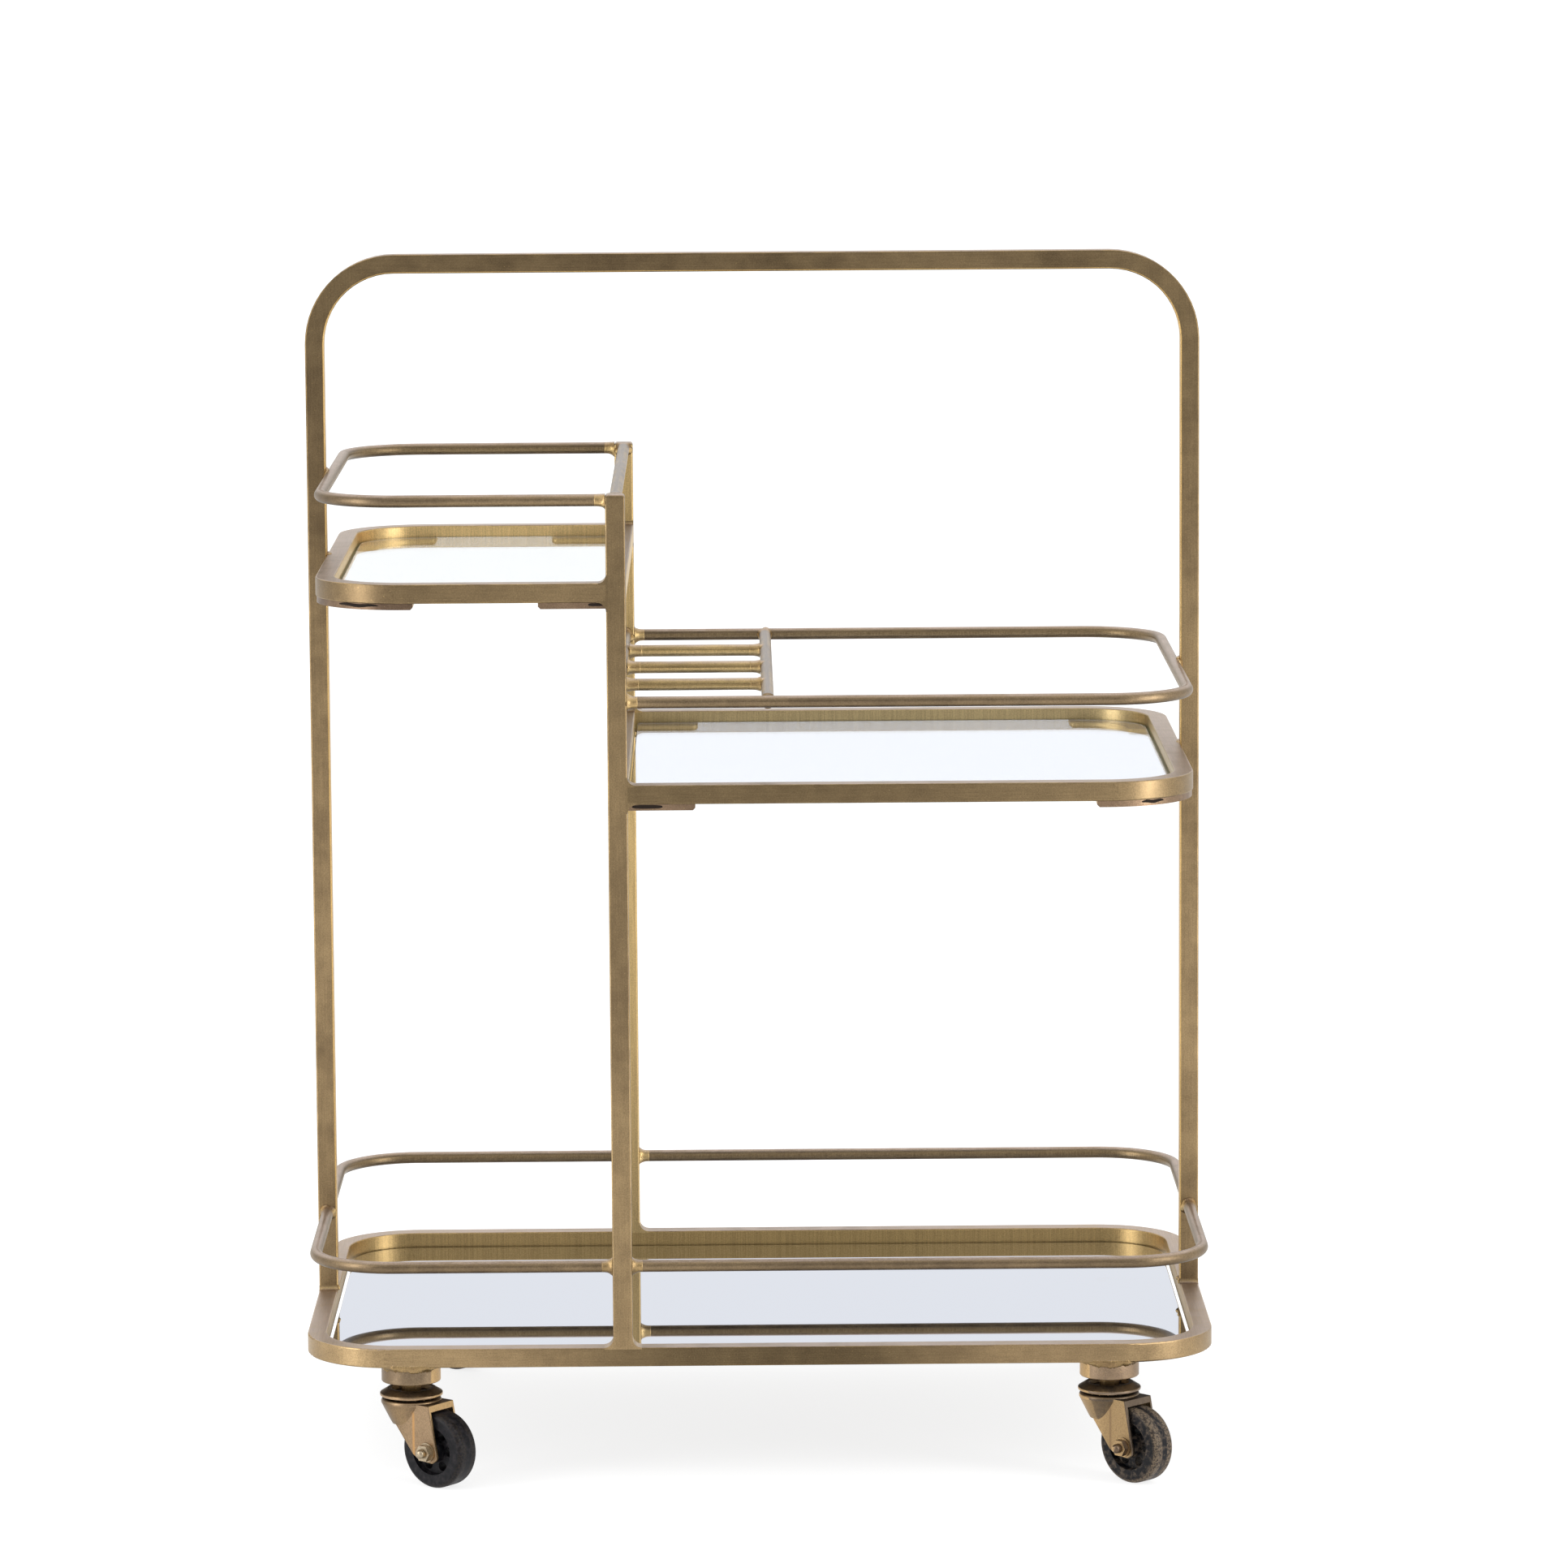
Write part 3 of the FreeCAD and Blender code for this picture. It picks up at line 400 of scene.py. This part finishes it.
def grids_to_mesh(name, grids):
    """One mesh of several grids of points, each rows by columns by 3, with a quad between neighbours."""
    points, quads, start = [], [], 0
    for grid in grids:
        rows, columns = grid.shape[:2]
        index = np.arange(rows * columns).reshape(rows, columns) + start
        sides = [index[:-1, :-1], index[1:, :-1], index[1:, 1:], index[:-1, 1:]]
        quads.append(np.stack(sides, -1).reshape(-1, 4))
        points.append(grid.reshape(-1, 3))
        start += rows * columns
    mesh = bpy.data.meshes.new(name)
    mesh.from_pydata(np.concatenate(points).tolist(), [], np.concatenate(quads).tolist())
    return mesh


def across(direction):
    """Two unit vectors square to a direction and to each other."""
    direction = Vector(direction).normalized()
    side = direction.cross(Z) if abs(direction.z) < 0.9 else direction.cross(X)
    side.normalize()
    return np.array(side), np.array(direction.cross(side)), np.array(direction)


def flare(at, direction, radius=ROD_RADIUS, swell=2.1 * MM, length=7 * MM, seed=0.0,
          ceiling=NO_CEILING):
    """A weld where a rod's end meets a face. Its radius is the rod's plus a swell that dies away as the
    cube of the distance from the face, with a slow wave round the rod. It closes on the rod's axis and is
    ground flat at the height of the ceiling."""
    around, steps = 33, 13
    side, other, forward = across(direction)
    turn = np.linspace(0, 2 * np.pi, around)[None, :]
    run = np.linspace(0, 1, steps)[:, None]
    wave = 1 + 0.20 * np.sin(3 * turn + seed) + 0.14 * np.sin(5 * turn + 2 * seed + 7 * run)
    clear_of_rod = 0.02 * MM
    body = radius + swell * (1 - run) ** 3.0 * wave + clear_of_rod
    axis = np.zeros((1, around))
    radii = np.concatenate([axis, body, axis])
    ahead = np.concatenate([[[0.0]], run, [[1.0]]]) * length
    ring = np.cos(turn)[..., None] * side + np.sin(turn)[..., None] * other
    grid = np.array(at) + radii[..., None] * ring + ahead[..., None] * forward
    grid[..., 2] = np.minimum(grid[..., 2], ceiling)
    return grid


def cove(at, first, second, size, width=FLUSH_WIDTH):
    """A ground fillet in the corner between two bars, that also fills the groove between their rounded
    edges. Its section is a square less a quarter circle, with a strip that runs back along the joint, and
    it closes at both ends of its width on a point inside the section."""
    first, second = np.array(first), np.array(second)
    along = np.cross(first, second)
    turn = np.linspace(0, np.pi / 2, 9)
    arc = size * (1 - np.stack([np.sin(turn), np.cos(turn)], -1))
    groove, back, lip = 1.15 * MM, HALF_BAR + 0.05 * MM, 0.2 * MM
    strip = [[-groove, size], [-groove, -back], [lip, -back], [lip, -groove], [size, -groove]]
    section = np.concatenate([arc, strip, arc[:1]])
    flat = section[:, :1] * first + section[:, 1:] * second
    inside = np.broadcast_to(-0.4 * MM * first, flat.shape)
    ends = np.array([-1, -1, 1, 1]) * width / 2
    rows = [inside, flat, flat, inside]
    return np.array(at) + np.stack(rows) + ends[:, None, None] * along


def bead(at, radii, seed=0.0, rough=0.12):
    """A blob of weld: each point of a ball of radius one, times one plus two slow waves, times the blob's
    radius along each axis."""
    turn = np.linspace(0, 2 * np.pi, 25)[None, :]
    tilt = np.linspace(0, np.pi, 13)[:, None]
    wave = 1 + rough * np.sin(tilt) * (np.sin(2 * turn + seed) + np.sin(3 * tilt + 2 * seed))
    ball = np.stack([np.sin(tilt) * np.cos(turn), np.sin(tilt) * np.sin(turn), np.cos(tilt) + 0 * turn], -1)
    return np.array(at) + ball * wave[..., None] * np.array(radii)


def arc_tube(centre, radius, level, start, stop, wide, tall):
    """A flat tube along an arc, between two angles in degrees. Its section is an ellipse, and the tube
    shrinks to a point at both ends as the 0.4 power of a half sine along the arc."""
    run = np.linspace(0, 1, 49)[:, None]
    turn = np.linspace(0, 2 * np.pi, 17)[None, :]
    angle = np.radians(start + (stop - start) * run)
    share = np.sin(np.pi * run) ** 0.4
    reach = radius + wide * share * np.cos(turn)
    return np.stack([centre[0] + reach * np.cos(angle), centre[1] + reach * np.sin(angle),
                     level + tall * share * (np.sin(turn) + 0.3 * np.sin(9 * run))], -1)


# Materials on the CAD pieces

def dress(material, *nodes):
    """Puts a material on CAD pieces."""
    for node in nodes:
        cad[node].data.materials[0] = material


def dress_bars():
    """The rings, the hoop, the posts and the crossbars, cleaner on their inner walls. Most of them change
    tone along their length."""
    dress(brass("tray ring brass", Y, X, "Y", INNER_Y, clean=tint(186, 157, 104),
                tone=("|X|", 0.04, 0.20, 0.50, 1.30)), "tray_frame")
    dress(brass("hoop brass", X, Z, "X", INNER_X - 0.02, flat=Y, centre=(0, 0, 0.45), age=1.0,
                clean=tint(196, 162, 104), tone=("Z", 0.42, 0.76, 1.15, 0.66)), "handle_hoop")
    dress(brass("top ring brass", Y, X, "Y", INNER_Y, centre=(-0.185, 0, 0.59), clean=tint(226, 194, 136),
                tone=0.84), "top_shelf_frame")
    dress(brass("middle ring brass", Y, X, "Y", INNER_Y, centre=(0.1, 0, 0.458), clean=tint(190, 168, 122),
                tone=("X", 0.0, 0.26, 0.62, 0.88)), "mid_shelf_frame")
    dress(brass("post brass", Z, flat=X, centre=(POST_X, 0, 0.35), age=0.9,
                tone=("Z", 0.12, 0.58, 1.20, 0.80)), "front_post", "rear_post")
    dress(brass("crossbar brass", Y, flat=X, centre=(0.2, 0, 0.5), age=0.9, dust=tint(150, 136, 126)),
          "top_shelf_crossbar", "mid_shelf_crossbar")


def dress_rods():
    """The guard rails, which are browner than the bars, their greyer crossbars and the golden short rods."""
    dress(brass("guard rail brass", Y, X, "Y", SIDE_Y - 0.03, age=0.9, gold=tint(146, 125, 96),
                brown=tint(102, 87, 69), clean=tint(138, 118, 88), tone=("Y", -0.05, 0.10, 1.0, 0.7)),
          "top_rail", "mid_rail", *(f"{corner}_tray_rail" for corner in CORNERS))
    dress(brass("crossbar rod brass", Y, gold=tint(140, 128, 116), brown=tint(116, 104, 92),
                dust=tint(146, 136, 128)), "top_rail_crossbar", "mid_rail_crossbar", "grid_crossbar")
    dress(brass("short rod brass", X, gold=tint(172, 148, 102), brown=tint(124, 106, 76)), "grid_rods")


def dress_sheets():
    """The tabs, the glass on them, the mirror and its backing."""
    # The tabs' darker gold and brown are partly their own rough cut brass and partly painted shade of their
    # set-back edges under the rings
    dress(brass("tab brass", X, age=1.0, gold=tint(146, 122, 98), brown=tint(84, 68, 56), grain=0.0,
                bump=0.6), "top_glass_tabs", "mid_glass_tabs")
    dress(clear_glass("top shelf glass", tint(246, 250, 250)), "top_glass")
    dress(clear_glass("middle shelf glass", tint(232, 237, 248)), "mid_glass")
    dress(mirror_sheet(), "tray_mirror")
    dress(paint("backing paint", tint(70, 68, 66), tint(112, 106, 98)), "mirror_backing")


def clear_the_tabs():
    """Shrinks each glass sheet a little all round, so that no face of it lies in a tab's face."""
    for node in ("top_glass", "mid_glass"):
        cad[node].modifiers.new("joined faces", "WELD").merge_threshold = 0.01 * MM
        air = cad[node].modifiers.new("air round the glass", "DISPLACE")
        air.strength = -0.06 * MM
        air.mid_level = 0.0


dress_bars()
dress_rods()
dress_sheets()
clear_the_tabs()
fillet_brass = brass("ground fillet brass", Z, age=0.9, tone=("Z", 0.12, 0.58, 1.25, 0.72))
weld_brass = brass("weld brass", Z, age=0.9, gold=tint(182, 154, 108), brown=tint(116, 94, 68), grain=0.0,
                   bump=0.6)
# Painted shade: near black, standing for the shade in the gaps between the tabs and the rings
painted_gap_shade = paint("painted gap shade", tint(20, 15, 12), tint(44, 34, 27))


# Welds of the frame

def rail_welds():
    """The swelling where each rod's end is welded to a post, to the hoop or to another rod."""
    left, right = post_low.x, post_high.x
    bar_x = middle("grid_crossbar").x
    grids = []
    for side in (-1, 1):
        rail_y = side * SIDE_Y
        inner = side * INNER_Y
        grids.append(flare((left, rail_y, TOP_RAIL_Z), -X, seed=1 + side, ceiling=TOP_RAIL_Z + ROD_RADIUS))
        grids.append(flare((right, rail_y, MID_RAIL_Z), X, seed=2 + side))
        grids.append(flare((left, rail_y, TRAY_RAIL_Z), -X, seed=3 + side))
        grids.append(flare((right, rail_y, TRAY_RAIL_Z), X, seed=4 + side))
        for level, ceiling in ((TOP_RAIL_Z, TOP_RAIL_Z + ROD_RADIUS), (MID_RAIL_Z, NO_CEILING)):
            grids.append(flare((POST_X, inner, level), -side * Y, seed=5 + side, ceiling=ceiling))
        for end in (-1, 1):
            at = (end * (INNER_X + HALF_BAR), side * HALF_BAR, TRAY_RAIL_Z)
            grids.append(flare(at, side * Y, swell=1.8 * MM, seed=6 + side + end))
        at = (bar_x, side * (SIDE_Y - ROD_RADIUS), MID_RAIL_Z)
        grids.append(flare(at, -side * Y, swell=1.2 * MM, seed=7 + side))
    for row in (-1, 0, 1):
        near = (POST_X + ROD_RADIUS, row * SIDE_Y / 2, MID_RAIL_Z)
        far = (bar_x - ROD_RADIUS, row * SIDE_Y / 2, MID_RAIL_Z)
        grids.append(flare(near, X, swell=1.4 * MM, length=9 * MM, seed=8 + row))
        grids.append(flare(far, -X, swell=1.0 * MM, seed=9 + row))
    put(grids_to_mesh("rail_welds", grids), "cart", weld_brass, "rail_welds")


def ground_fillets():
    """The fillets ground smooth where bars meet at right angles."""
    left, right = post_low.x, post_high.x
    wide, even, tight = 6 * MM, 5 * MM, 3 * MM
    grids = []
    for side in (-1, 1):
        bar_y = side * SIDE_Y
        inner = side * INNER_Y
        grids.append(cove((left, bar_y, ring_high.z), Z, -X, wide))
        grids.append(cove((right, bar_y, ring_high.z), Z, X, wide))
        grids.append(cove((right, bar_y, mid_high.z), X, Z, even))
        grids.append(cove((right, bar_y, mid_low.z), X, -Z, wide))
        grids.append(cove((left, bar_y, top_high.z), -X, Z, even))
        grids.append(cove((left, bar_y, top_low.z), -X, -Z, wide))
        for low, high in ((mid_low.z, mid_high.z), (top_low.z, top_high.z)):
            grids.append(cove((POST_X, inner, high), -side * Y, Z, tight))
            grids.append(cove((POST_X, inner, low), -side * Y, -Z, tight))
        for end in (-1, 1):
            foot = (end * (INNER_X + HALF_BAR), side * HALF_BAR, ring_high.z)
            grids.append(cove(foot, Z, side * Y, tight))
    put(grids_to_mesh("ground_fillets", grids), "cart", fillet_brass, "ground_fillets").data.shade_flat()


def hoop_welds():
    """Blobs of weld where the end of each ring and rail touches the inside of the hoop, and at its feet."""
    side_blob, wall_blob = (2.6 * MM, 2.8 * MM, 3.6 * MM), (1.8 * MM, 2.4 * MM, 5.6 * MM)
    seam_blob, rail_blob = (2.2 * MM, 5.5 * MM, 2.0 * MM), (2.0 * MM, 5.5 * MM, 2.0 * MM)
    foot_blob = (1.3 * MM, 1.8 * MM, 1.9 * MM)
    grids = []
    for end, rail_z, low, high in ((-1, TOP_RAIL_Z, top_low.z, top_high.z),
                                   (1, MID_RAIL_Z, mid_low.z, mid_high.z)):
        out, x = end * (INNER_X - 0.6 * MM), end * (INNER_X - 0.4 * MM)
        for side in (-1, 1):
            y = side * (HALF_BAR - 0.3 * MM)
            grids.append(bead((out, y, rail_z), side_blob, seed=end + side))
            grids.append(bead((x, y, (low + high) / 2), wall_blob, seed=2 + end + side))
        grids.append(bead((x, 0, high - 0.3 * MM), seam_blob, seed=3 + end))
        grids.append(bead((x, 0, low + 0.3 * MM), seam_blob, seed=4 + end))
        grids.append(bead((x, 0, rail_z + 3.2 * MM), rail_blob, seed=5 + end))
    for end, side in ((1, -1), (1, 1), (-1, -1)):
        foot = (end * (INNER_X - 0.2 * MM), side * 4.6 * MM, ring_high.z + 1.2 * MM)
        grids.append(bead(foot, foot_blob, seed=6 + end + side, rough=0.2))
    put(grids_to_mesh("hoop_welds", grids), "cart", weld_brass, "hoop_welds")


def painted_tab_slot_shade():
    """Painted shade: dark blobs that stand for the shaded gaps the welder left at the front between the tabs
    and the rings above them.
    """
    arc_half, drop = (0.6 * MM, 1.1 * MM), 1.3 * MM
    grids = []
    for end, low, high, start, stop in ((-1, top_low, top_high, 224, 254), (1, mid_low, mid_high, 293, 310)):
        tip = low.x if end < 0 else high.x
        centre = (tip - end * RING_BEND, low.y + RING_BEND)
        grids.append(arc_tube(centre, RING_BEND - TAB_SETBACK, low.z - drop, start, stop, *arc_half))
    face = top_low.y + TAB_SETBACK
    grids.append(bead((post_low.x - 6.5 * MM, face, top_low.z - drop), (5.5 * MM, 0.4 * MM, 1.0 * MM)))
    grids.append(bead((post_high.x + 13 * MM, face, mid_low.z - 1.5 * MM), (11 * MM, 0.4 * MM, 1.2 * MM)))
    put(grids_to_mesh("painted_tab_slot_shade", grids), "cart", painted_gap_shade, "painted_tab_slot_shade")


rail_welds()
ground_fillets()
hoop_welds()
painted_tab_slot_shade()


# Casters

# Which way each caster trails, in degrees
TURNS = {"front_left": -38, "front_right": -45, "rear_left": -42, "rear_right": -52}


def trail(corner):
    """The level direction from a caster's kingpin towards its wheel."""
    turn = math.radians(TURNS[corner])
    return math.cos(turn), math.sin(turn), 0


def axle(corner):
    """The direction of a caster's axle."""
    turn = math.radians(TURNS[corner])
    return -math.sin(turn), math.cos(turn), 0


def caster_metal(name, gold, brown, age=0.8, tone=1.0, bump=0.3):
    """Plated steel: the brass finish with no grain, and brown where it would be dusty."""
    return brass(name, Z, age=age, gold=gold, brown=brown, clean=tint(206, 172, 122), dust=brown, tone=tone,
                 grain=0.0, bump=bump)


def worn_rubber():
    """Black moulded rubber, greyer where scuffed. Its tread is brown with dust and grit on both sides of a
    clean band in the middle."""
    tree, given = new_group(
        "worn rubber", [("Place", "Vector"), ("Centre", "Vector"), ("Axis", "Vector"), ("Dust", "Float")],
        [("Color", "Color"), ("Roughness", "Float"), ("Height", "Float")])
    place = given["Place"]
    out = vectors(tree, "SUBTRACT", place, given["Centre"])
    side = vectors(tree, "DOT_PRODUCT", out, given["Axis"], "Value")
    flat = vectors(tree, "CROSS_PRODUCT", out, given["Axis"])
    reach = vectors(tree, "LENGTH", flat, output="Value")
    scuffs = noise(tree, place, 260, 4, 0.65)
    grit = noise(tree, place, 700, 3, 0.7)
    tread = ramp(tree, reach, 21.5 * MM, 24 * MM)
    beside = ramp(tree, calc(tree, "ABSOLUTE", side), 1.6 * MM, 3 * MM)
    broken = ramp(tree, grit, 0.40, 0.62, 0.15, 1.0)
    dusty = times(tree, times(tree, tread, beside), times(tree, broken, given["Dust"]))
    film = times(tree, ramp(tree, scuffs, 0.42, 0.75, 0.0, 0.6), given["Dust"])
    colour = blend(tree, ramp(tree, scuffs, 0.4, 0.7), tint(10, 10, 14), tint(30, 29, 35))
    colour = blend(tree, calc(tree, "MAXIMUM", dusty, film), colour, tint(104, 90, 74))
    close_group(tree, Color=colour, Roughness=ramp(tree, scuffs, 0.35, 0.7, 0.42, 0.62),
                Height=calc(tree, "ADD", scuffs, times(tree, dusty, 0.6)))
    return tree


def wheel_rubber(corner, dust):
    """The rubber of one wheel, with that much dust."""
    material, tree, shader, place, _ = new_material(f"{corner} wheel rubber")
    made = placed(tree, "rubber", Place=place, Centre=tuple(middle(f"{corner}_wheel")), Dust=dust,
                  Axis=axle(corner))
    join_finish(tree, shader, made, 0.25)
    shader.inputs["Specular IOR Level"].default_value = 0.18
    return material


def painted_fork_light():
    """Painted light and shade on a pressed fork: one painted tone round the cup, another along the legs, and
    a golden painted highlight down the crease between them."""
    tree, given = new_group(
        "painted fork light and shade",
        [("Place", "Vector"), ("Centre", "Vector"), ("Trail", "Vector"), ("Color", "Color"),
         ("Line", "Color"), ("Cup", "Float"), ("Leg", "Float")],
        [("Color", "Color")])
    out = vectors(tree, "SUBTRACT", given["Place"], given["Centre"])
    run = vectors(tree, "DOT_PRODUCT", out, given["Trail"], "Value")
    off_crease = calc(tree, "ABSOLUTE", calc(tree, "SUBTRACT", run, 12.5 * MM))
    crease_highlight = ramp(tree, off_crease, 1.5 * MM, 0.3 * MM)
    leg = ramp(tree, part(tree, given["Place"], "Z"), 52 * MM, 48 * MM)
    # Painted light and shade: the cup and the legs each get their own tone
    colour = toned(tree, given["Color"], ramp(tree, run, -16 * MM, 12 * MM, given["Cup"], given["Leg"]))
    # Painted highlight: a golden line down the crease
    colour = blend(tree, times(tree, times(tree, crease_highlight, leg), 0.6), colour, given["Line"])
    close_group(tree, Color=colour)
    return tree


def fork_metal(corner, gold, brown, age, highlight, cup, leg):
    """Caster metal with the pressed fork's painted light and shade over it."""
    material = caster_metal(f"{corner} fork metal", gold, brown, age)
    tree = material.node_tree
    shader = next(item for item in tree.nodes if item.type == "BSDF_PRINCIPLED")
    before = shader.inputs["Base Color"].links[0].from_socket
    place = add(tree, "ShaderNodeTexCoord").outputs["Object"]
    made = placed(tree, "fork painted light", Place=place, Centre=tuple(middle(f"{corner}_collar")), Trail=trail(corner),
                  Color=before, Line=highlight, Cup=cup, Leg=leg)
    tree.links.new(made["Color"], shader.inputs["Base Color"])
    return material


groups["rubber"] = worn_rubber()
groups["fork painted light"] = painted_fork_light()
WHEEL_DUST = {"front_left": 0.15, "front_right": 1.25, "rear_left": 0.5, "rear_right": 0.6}
COLLAR_TONES = {"front_left": 0.85, "front_right": 1.6, "rear_left": 0.9, "rear_right": 1.0}
# Each fork's gold, brown and age, the colour of its painted crease highlight, and the painted tones of light
# and shade on its cup and its legs
REAR_FORK = (tint(140, 122, 100), tint(96, 80, 64), 0.8, tint(150, 120, 84), 0.8, 0.7)
FORK_TONES = {
    "front_left": (tint(148, 125, 98), tint(108, 88, 68), 0.7, tint(190, 142, 86), 0.55, 1.0),
    "front_right": (tint(146, 130, 112), tint(98, 84, 72), 0.9, tint(124, 100, 76), 1.2, 0.68),
    "rear_left": REAR_FORK,
    "rear_right": REAR_FORK,
}
RACE_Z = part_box("front_left_top_race")[0].z
RIM_TO_CROWN = ("Z", RACE_Z + 0.9 * MM, RACE_Z + 2.4 * MM, 1.5, 0.42)
pale_bolt = caster_metal("pale bolt metal", tint(184, 170, 146), tint(126, 110, 90))
dark_bolt = caster_metal("dark bolt metal", tint(132, 112, 94), tint(80, 66, 54))
stem_metal = caster_metal("stem metal", tint(176, 144, 96), tint(110, 86, 58))
grease = caster_metal("greased steel", tint(52, 46, 40), tint(34, 30, 26))


def dress_caster(corner):
    """One caster's own metals and rubber."""
    race = caster_metal(f"{corner} race metal", *FORK_TONES[corner][:3], tone=RIM_TO_CROWN)
    collar = caster_metal(f"{corner} collar brass", tint(158, 136, 108), tint(104, 88, 72), 1.0,
                          tone=COLLAR_TONES[corner], bump=0.7)
    dress(fork_metal(corner, *FORK_TONES[corner]), f"{corner}_fork")
    dress(race, f"{corner}_top_race")
    dress(collar, f"{corner}_collar")
    dress(stem_metal, f"{corner}_stem")
    dress(pale_bolt if corner == "front_left" else dark_bolt, f"{corner}_axle_bolt", f"{corner}_axle_nut")
    dress(grease, f"{corner}_ball_ring", f"{corner}_axle_sleeve")
    dress(wheel_rubber(corner, WHEEL_DUST[corner]), f"{corner}_wheel")


for corner in CORNERS:
    dress_caster(corner)


def collar_seam(centre, radius, level, facing, seed):
    """The rough weld between a collar and the ring above. Its section leaves the ring's lower edge, bulges a
    little and runs down into the collar's wall. It follows the collar round the side that faces out, with
    waves over its surface, and shrinks to a point at both ends."""
    half_turn, fade = 1.2, 0.25
    turn = np.linspace(-half_turn, half_turn, 145)[:, None]
    even = 0 * turn
    lumps = (0.42 + 0.16 * np.sin(11.3 * turn + seed)
             + 0.14 * np.sin(26.7 * turn + 3 * seed) * np.cos(7 * turn)
             + 0.12 * np.sin(53.9 * turn + 2 * seed) * np.sin(5 * turn + seed) + 0.05 * np.sin(97 * turn))
    face = np.minimum(radius / np.cos(turn), radius + 3.2 * MM)
    bulge = 0.8 * MM * lumps
    foot = level - (2.2 + 2.2 * lumps + 0.4 * np.sin(4.3 * turn + 2 * seed)) * MM
    reach = np.concatenate([radius - 2 * MM + even, face - 0.1 * MM, face + 0.6 * bulge,
                            radius + 0.55 * (face - radius) + bulge, radius + 0.7 * bulge,
                            radius + 0.05 * MM + even, radius - 1 * MM + even], 1)
    height = np.concatenate([level + 0.9 * MM + even, level + 1.8 * MM + bulge, level + 0.1 * MM + even,
                             0.45 * level + 0.55 * foot, 0.2 * level + 0.8 * foot, foot, foot], 1)
    share = np.clip((half_turn - np.abs(turn)) / fade, 0, 1) ** 0.6
    tip_reach, tip_height = radius - 0.5 * MM, level + 0.2 * MM
    reach = tip_reach + (reach - tip_reach) * share
    height = tip_height + (height - tip_height) * share
    reach, height = (np.concatenate([row, row[:, :1]], 1) for row in (reach, height))
    angle = facing + turn
    return np.stack([centre[0] + reach * np.cos(angle), centre[1] + reach * np.sin(angle), height], -1)


def collar_welds():
    """The rough seam between each collar and the ring, round the side that faces out."""
    grids = []
    for seed, corner in enumerate(CORNERS):
        low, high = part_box(f"{corner}_collar")
        centre = middle(f"{corner}_collar")
        facing = math.copysign(math.pi / 2, centre.y)
        grids.append(collar_seam(centre, (high.x - low.x) / 2, high.z, facing, seed))
    put(grids_to_mesh("collar_welds", grids), "cart", weld_brass, "collar_welds")


collar_welds()


# Room, lights and camera

def pale_floor():
    """A wide pale floor that glows a little, so that it stays light under the cart."""
    material, _, shader, _, _ = new_material("pale floor")
    shader.inputs["Base Color"].default_value = (0.3, 0.3, 0.3, 1)
    shader.inputs["Emission Color"].default_value = (1, 1, 1, 1)
    shader.inputs["Emission Strength"].default_value = 0.80
    shader.inputs["Roughness"].default_value = 0.9
    shader.inputs["Specular IOR Level"].default_value = 0.1
    mesh = bpy.data.meshes.new("floor")
    reach = 70.0
    corners = [(-reach, -reach, 0), (reach, -reach, 0), (reach, reach, 0), (-reach, reach, 0)]
    mesh.from_pydata(corners, [], [(0, 1, 2, 3)])
    mesh.materials.append(material)
    floor = bpy.data.objects.new("floor", mesh)
    scene.collection.objects.link(floor)


def light_sky():
    """An even sky that is darker behind the camera and lighter overhead."""
    scene.world = bpy.data.worlds.new("studio")
    scene.world.use_nodes = True
    tree = scene.world.node_tree
    sky = tree.nodes["Background"]
    direction = add(tree, "ShaderNodeTexCoord").outputs["Generated"]
    behind = ramp(tree, part(tree, direction, "Y"), -0.8, 0.1, 0.5, 1.0)
    above = ramp(tree, part(tree, direction, "Z"), 0.2, 0.8, 0.0, 0.5)
    tree.links.new(calc(tree, "ADD", behind, above), sky.inputs["Strength"])
    sky.inputs["Color"].default_value = (0.98, 0.99, 1.0, 1)


def look(place, ahead, roll=0.0):
    """A camera's or lamp's place and turn, from where it is, which way it faces and its roll in radians."""
    ahead = ahead.normalized()
    level = ahead.cross(Z).normalized()
    up = level.cross(ahead)
    right = math.cos(roll) * level + math.sin(roll) * up
    top = -math.sin(roll) * level + math.cos(roll) * up
    turn = Matrix((right, top, -ahead)).transposed().to_4x4()
    return Matrix.Translation(place) @ turn


def soft_boxes():
    """A tall soft box on each side, in front of the cart and standing on the floor."""
    for side in (-1, 1):
        place = Vector((side * 1.15, -0.72, 0.55))
        aim = Vector((side * 0.26, -0.17, 0.55))
        box = bpy.data.lights.new("soft box", "AREA")
        box.shape = "RECTANGLE"
        box.size = 0.34
        box.size_y = 1.1
        box.energy = 8.0
        lamp = bpy.data.objects.new("soft box", box)
        lamp.matrix_world = look(place, aim - place)
        scene.collection.objects.link(lamp)


def set_camera():
    """A long lens in front of the cart and a little above its handle, tilted down."""
    place = Vector((-0.0137, -4.7409, 1.0813))
    yaw, pitch, roll = math.radians(0.40), math.radians(-7.73), math.radians(-0.38)
    ahead = Vector((math.sin(yaw) * math.cos(pitch), math.cos(yaw) * math.cos(pitch), math.sin(pitch)))
    lens = bpy.data.cameras.new("camera")
    lens.lens = 162.2
    lens.sensor_width = 36
    lens.clip_end = 200
    camera = bpy.data.objects.new("camera", lens)
    camera.matrix_world = look(place, ahead, roll)
    scene.collection.objects.link(camera)
    scene.camera = camera


pale_floor()
light_sky()
soft_boxes()
set_camera()
scene.view_settings.view_transform = "Standard"
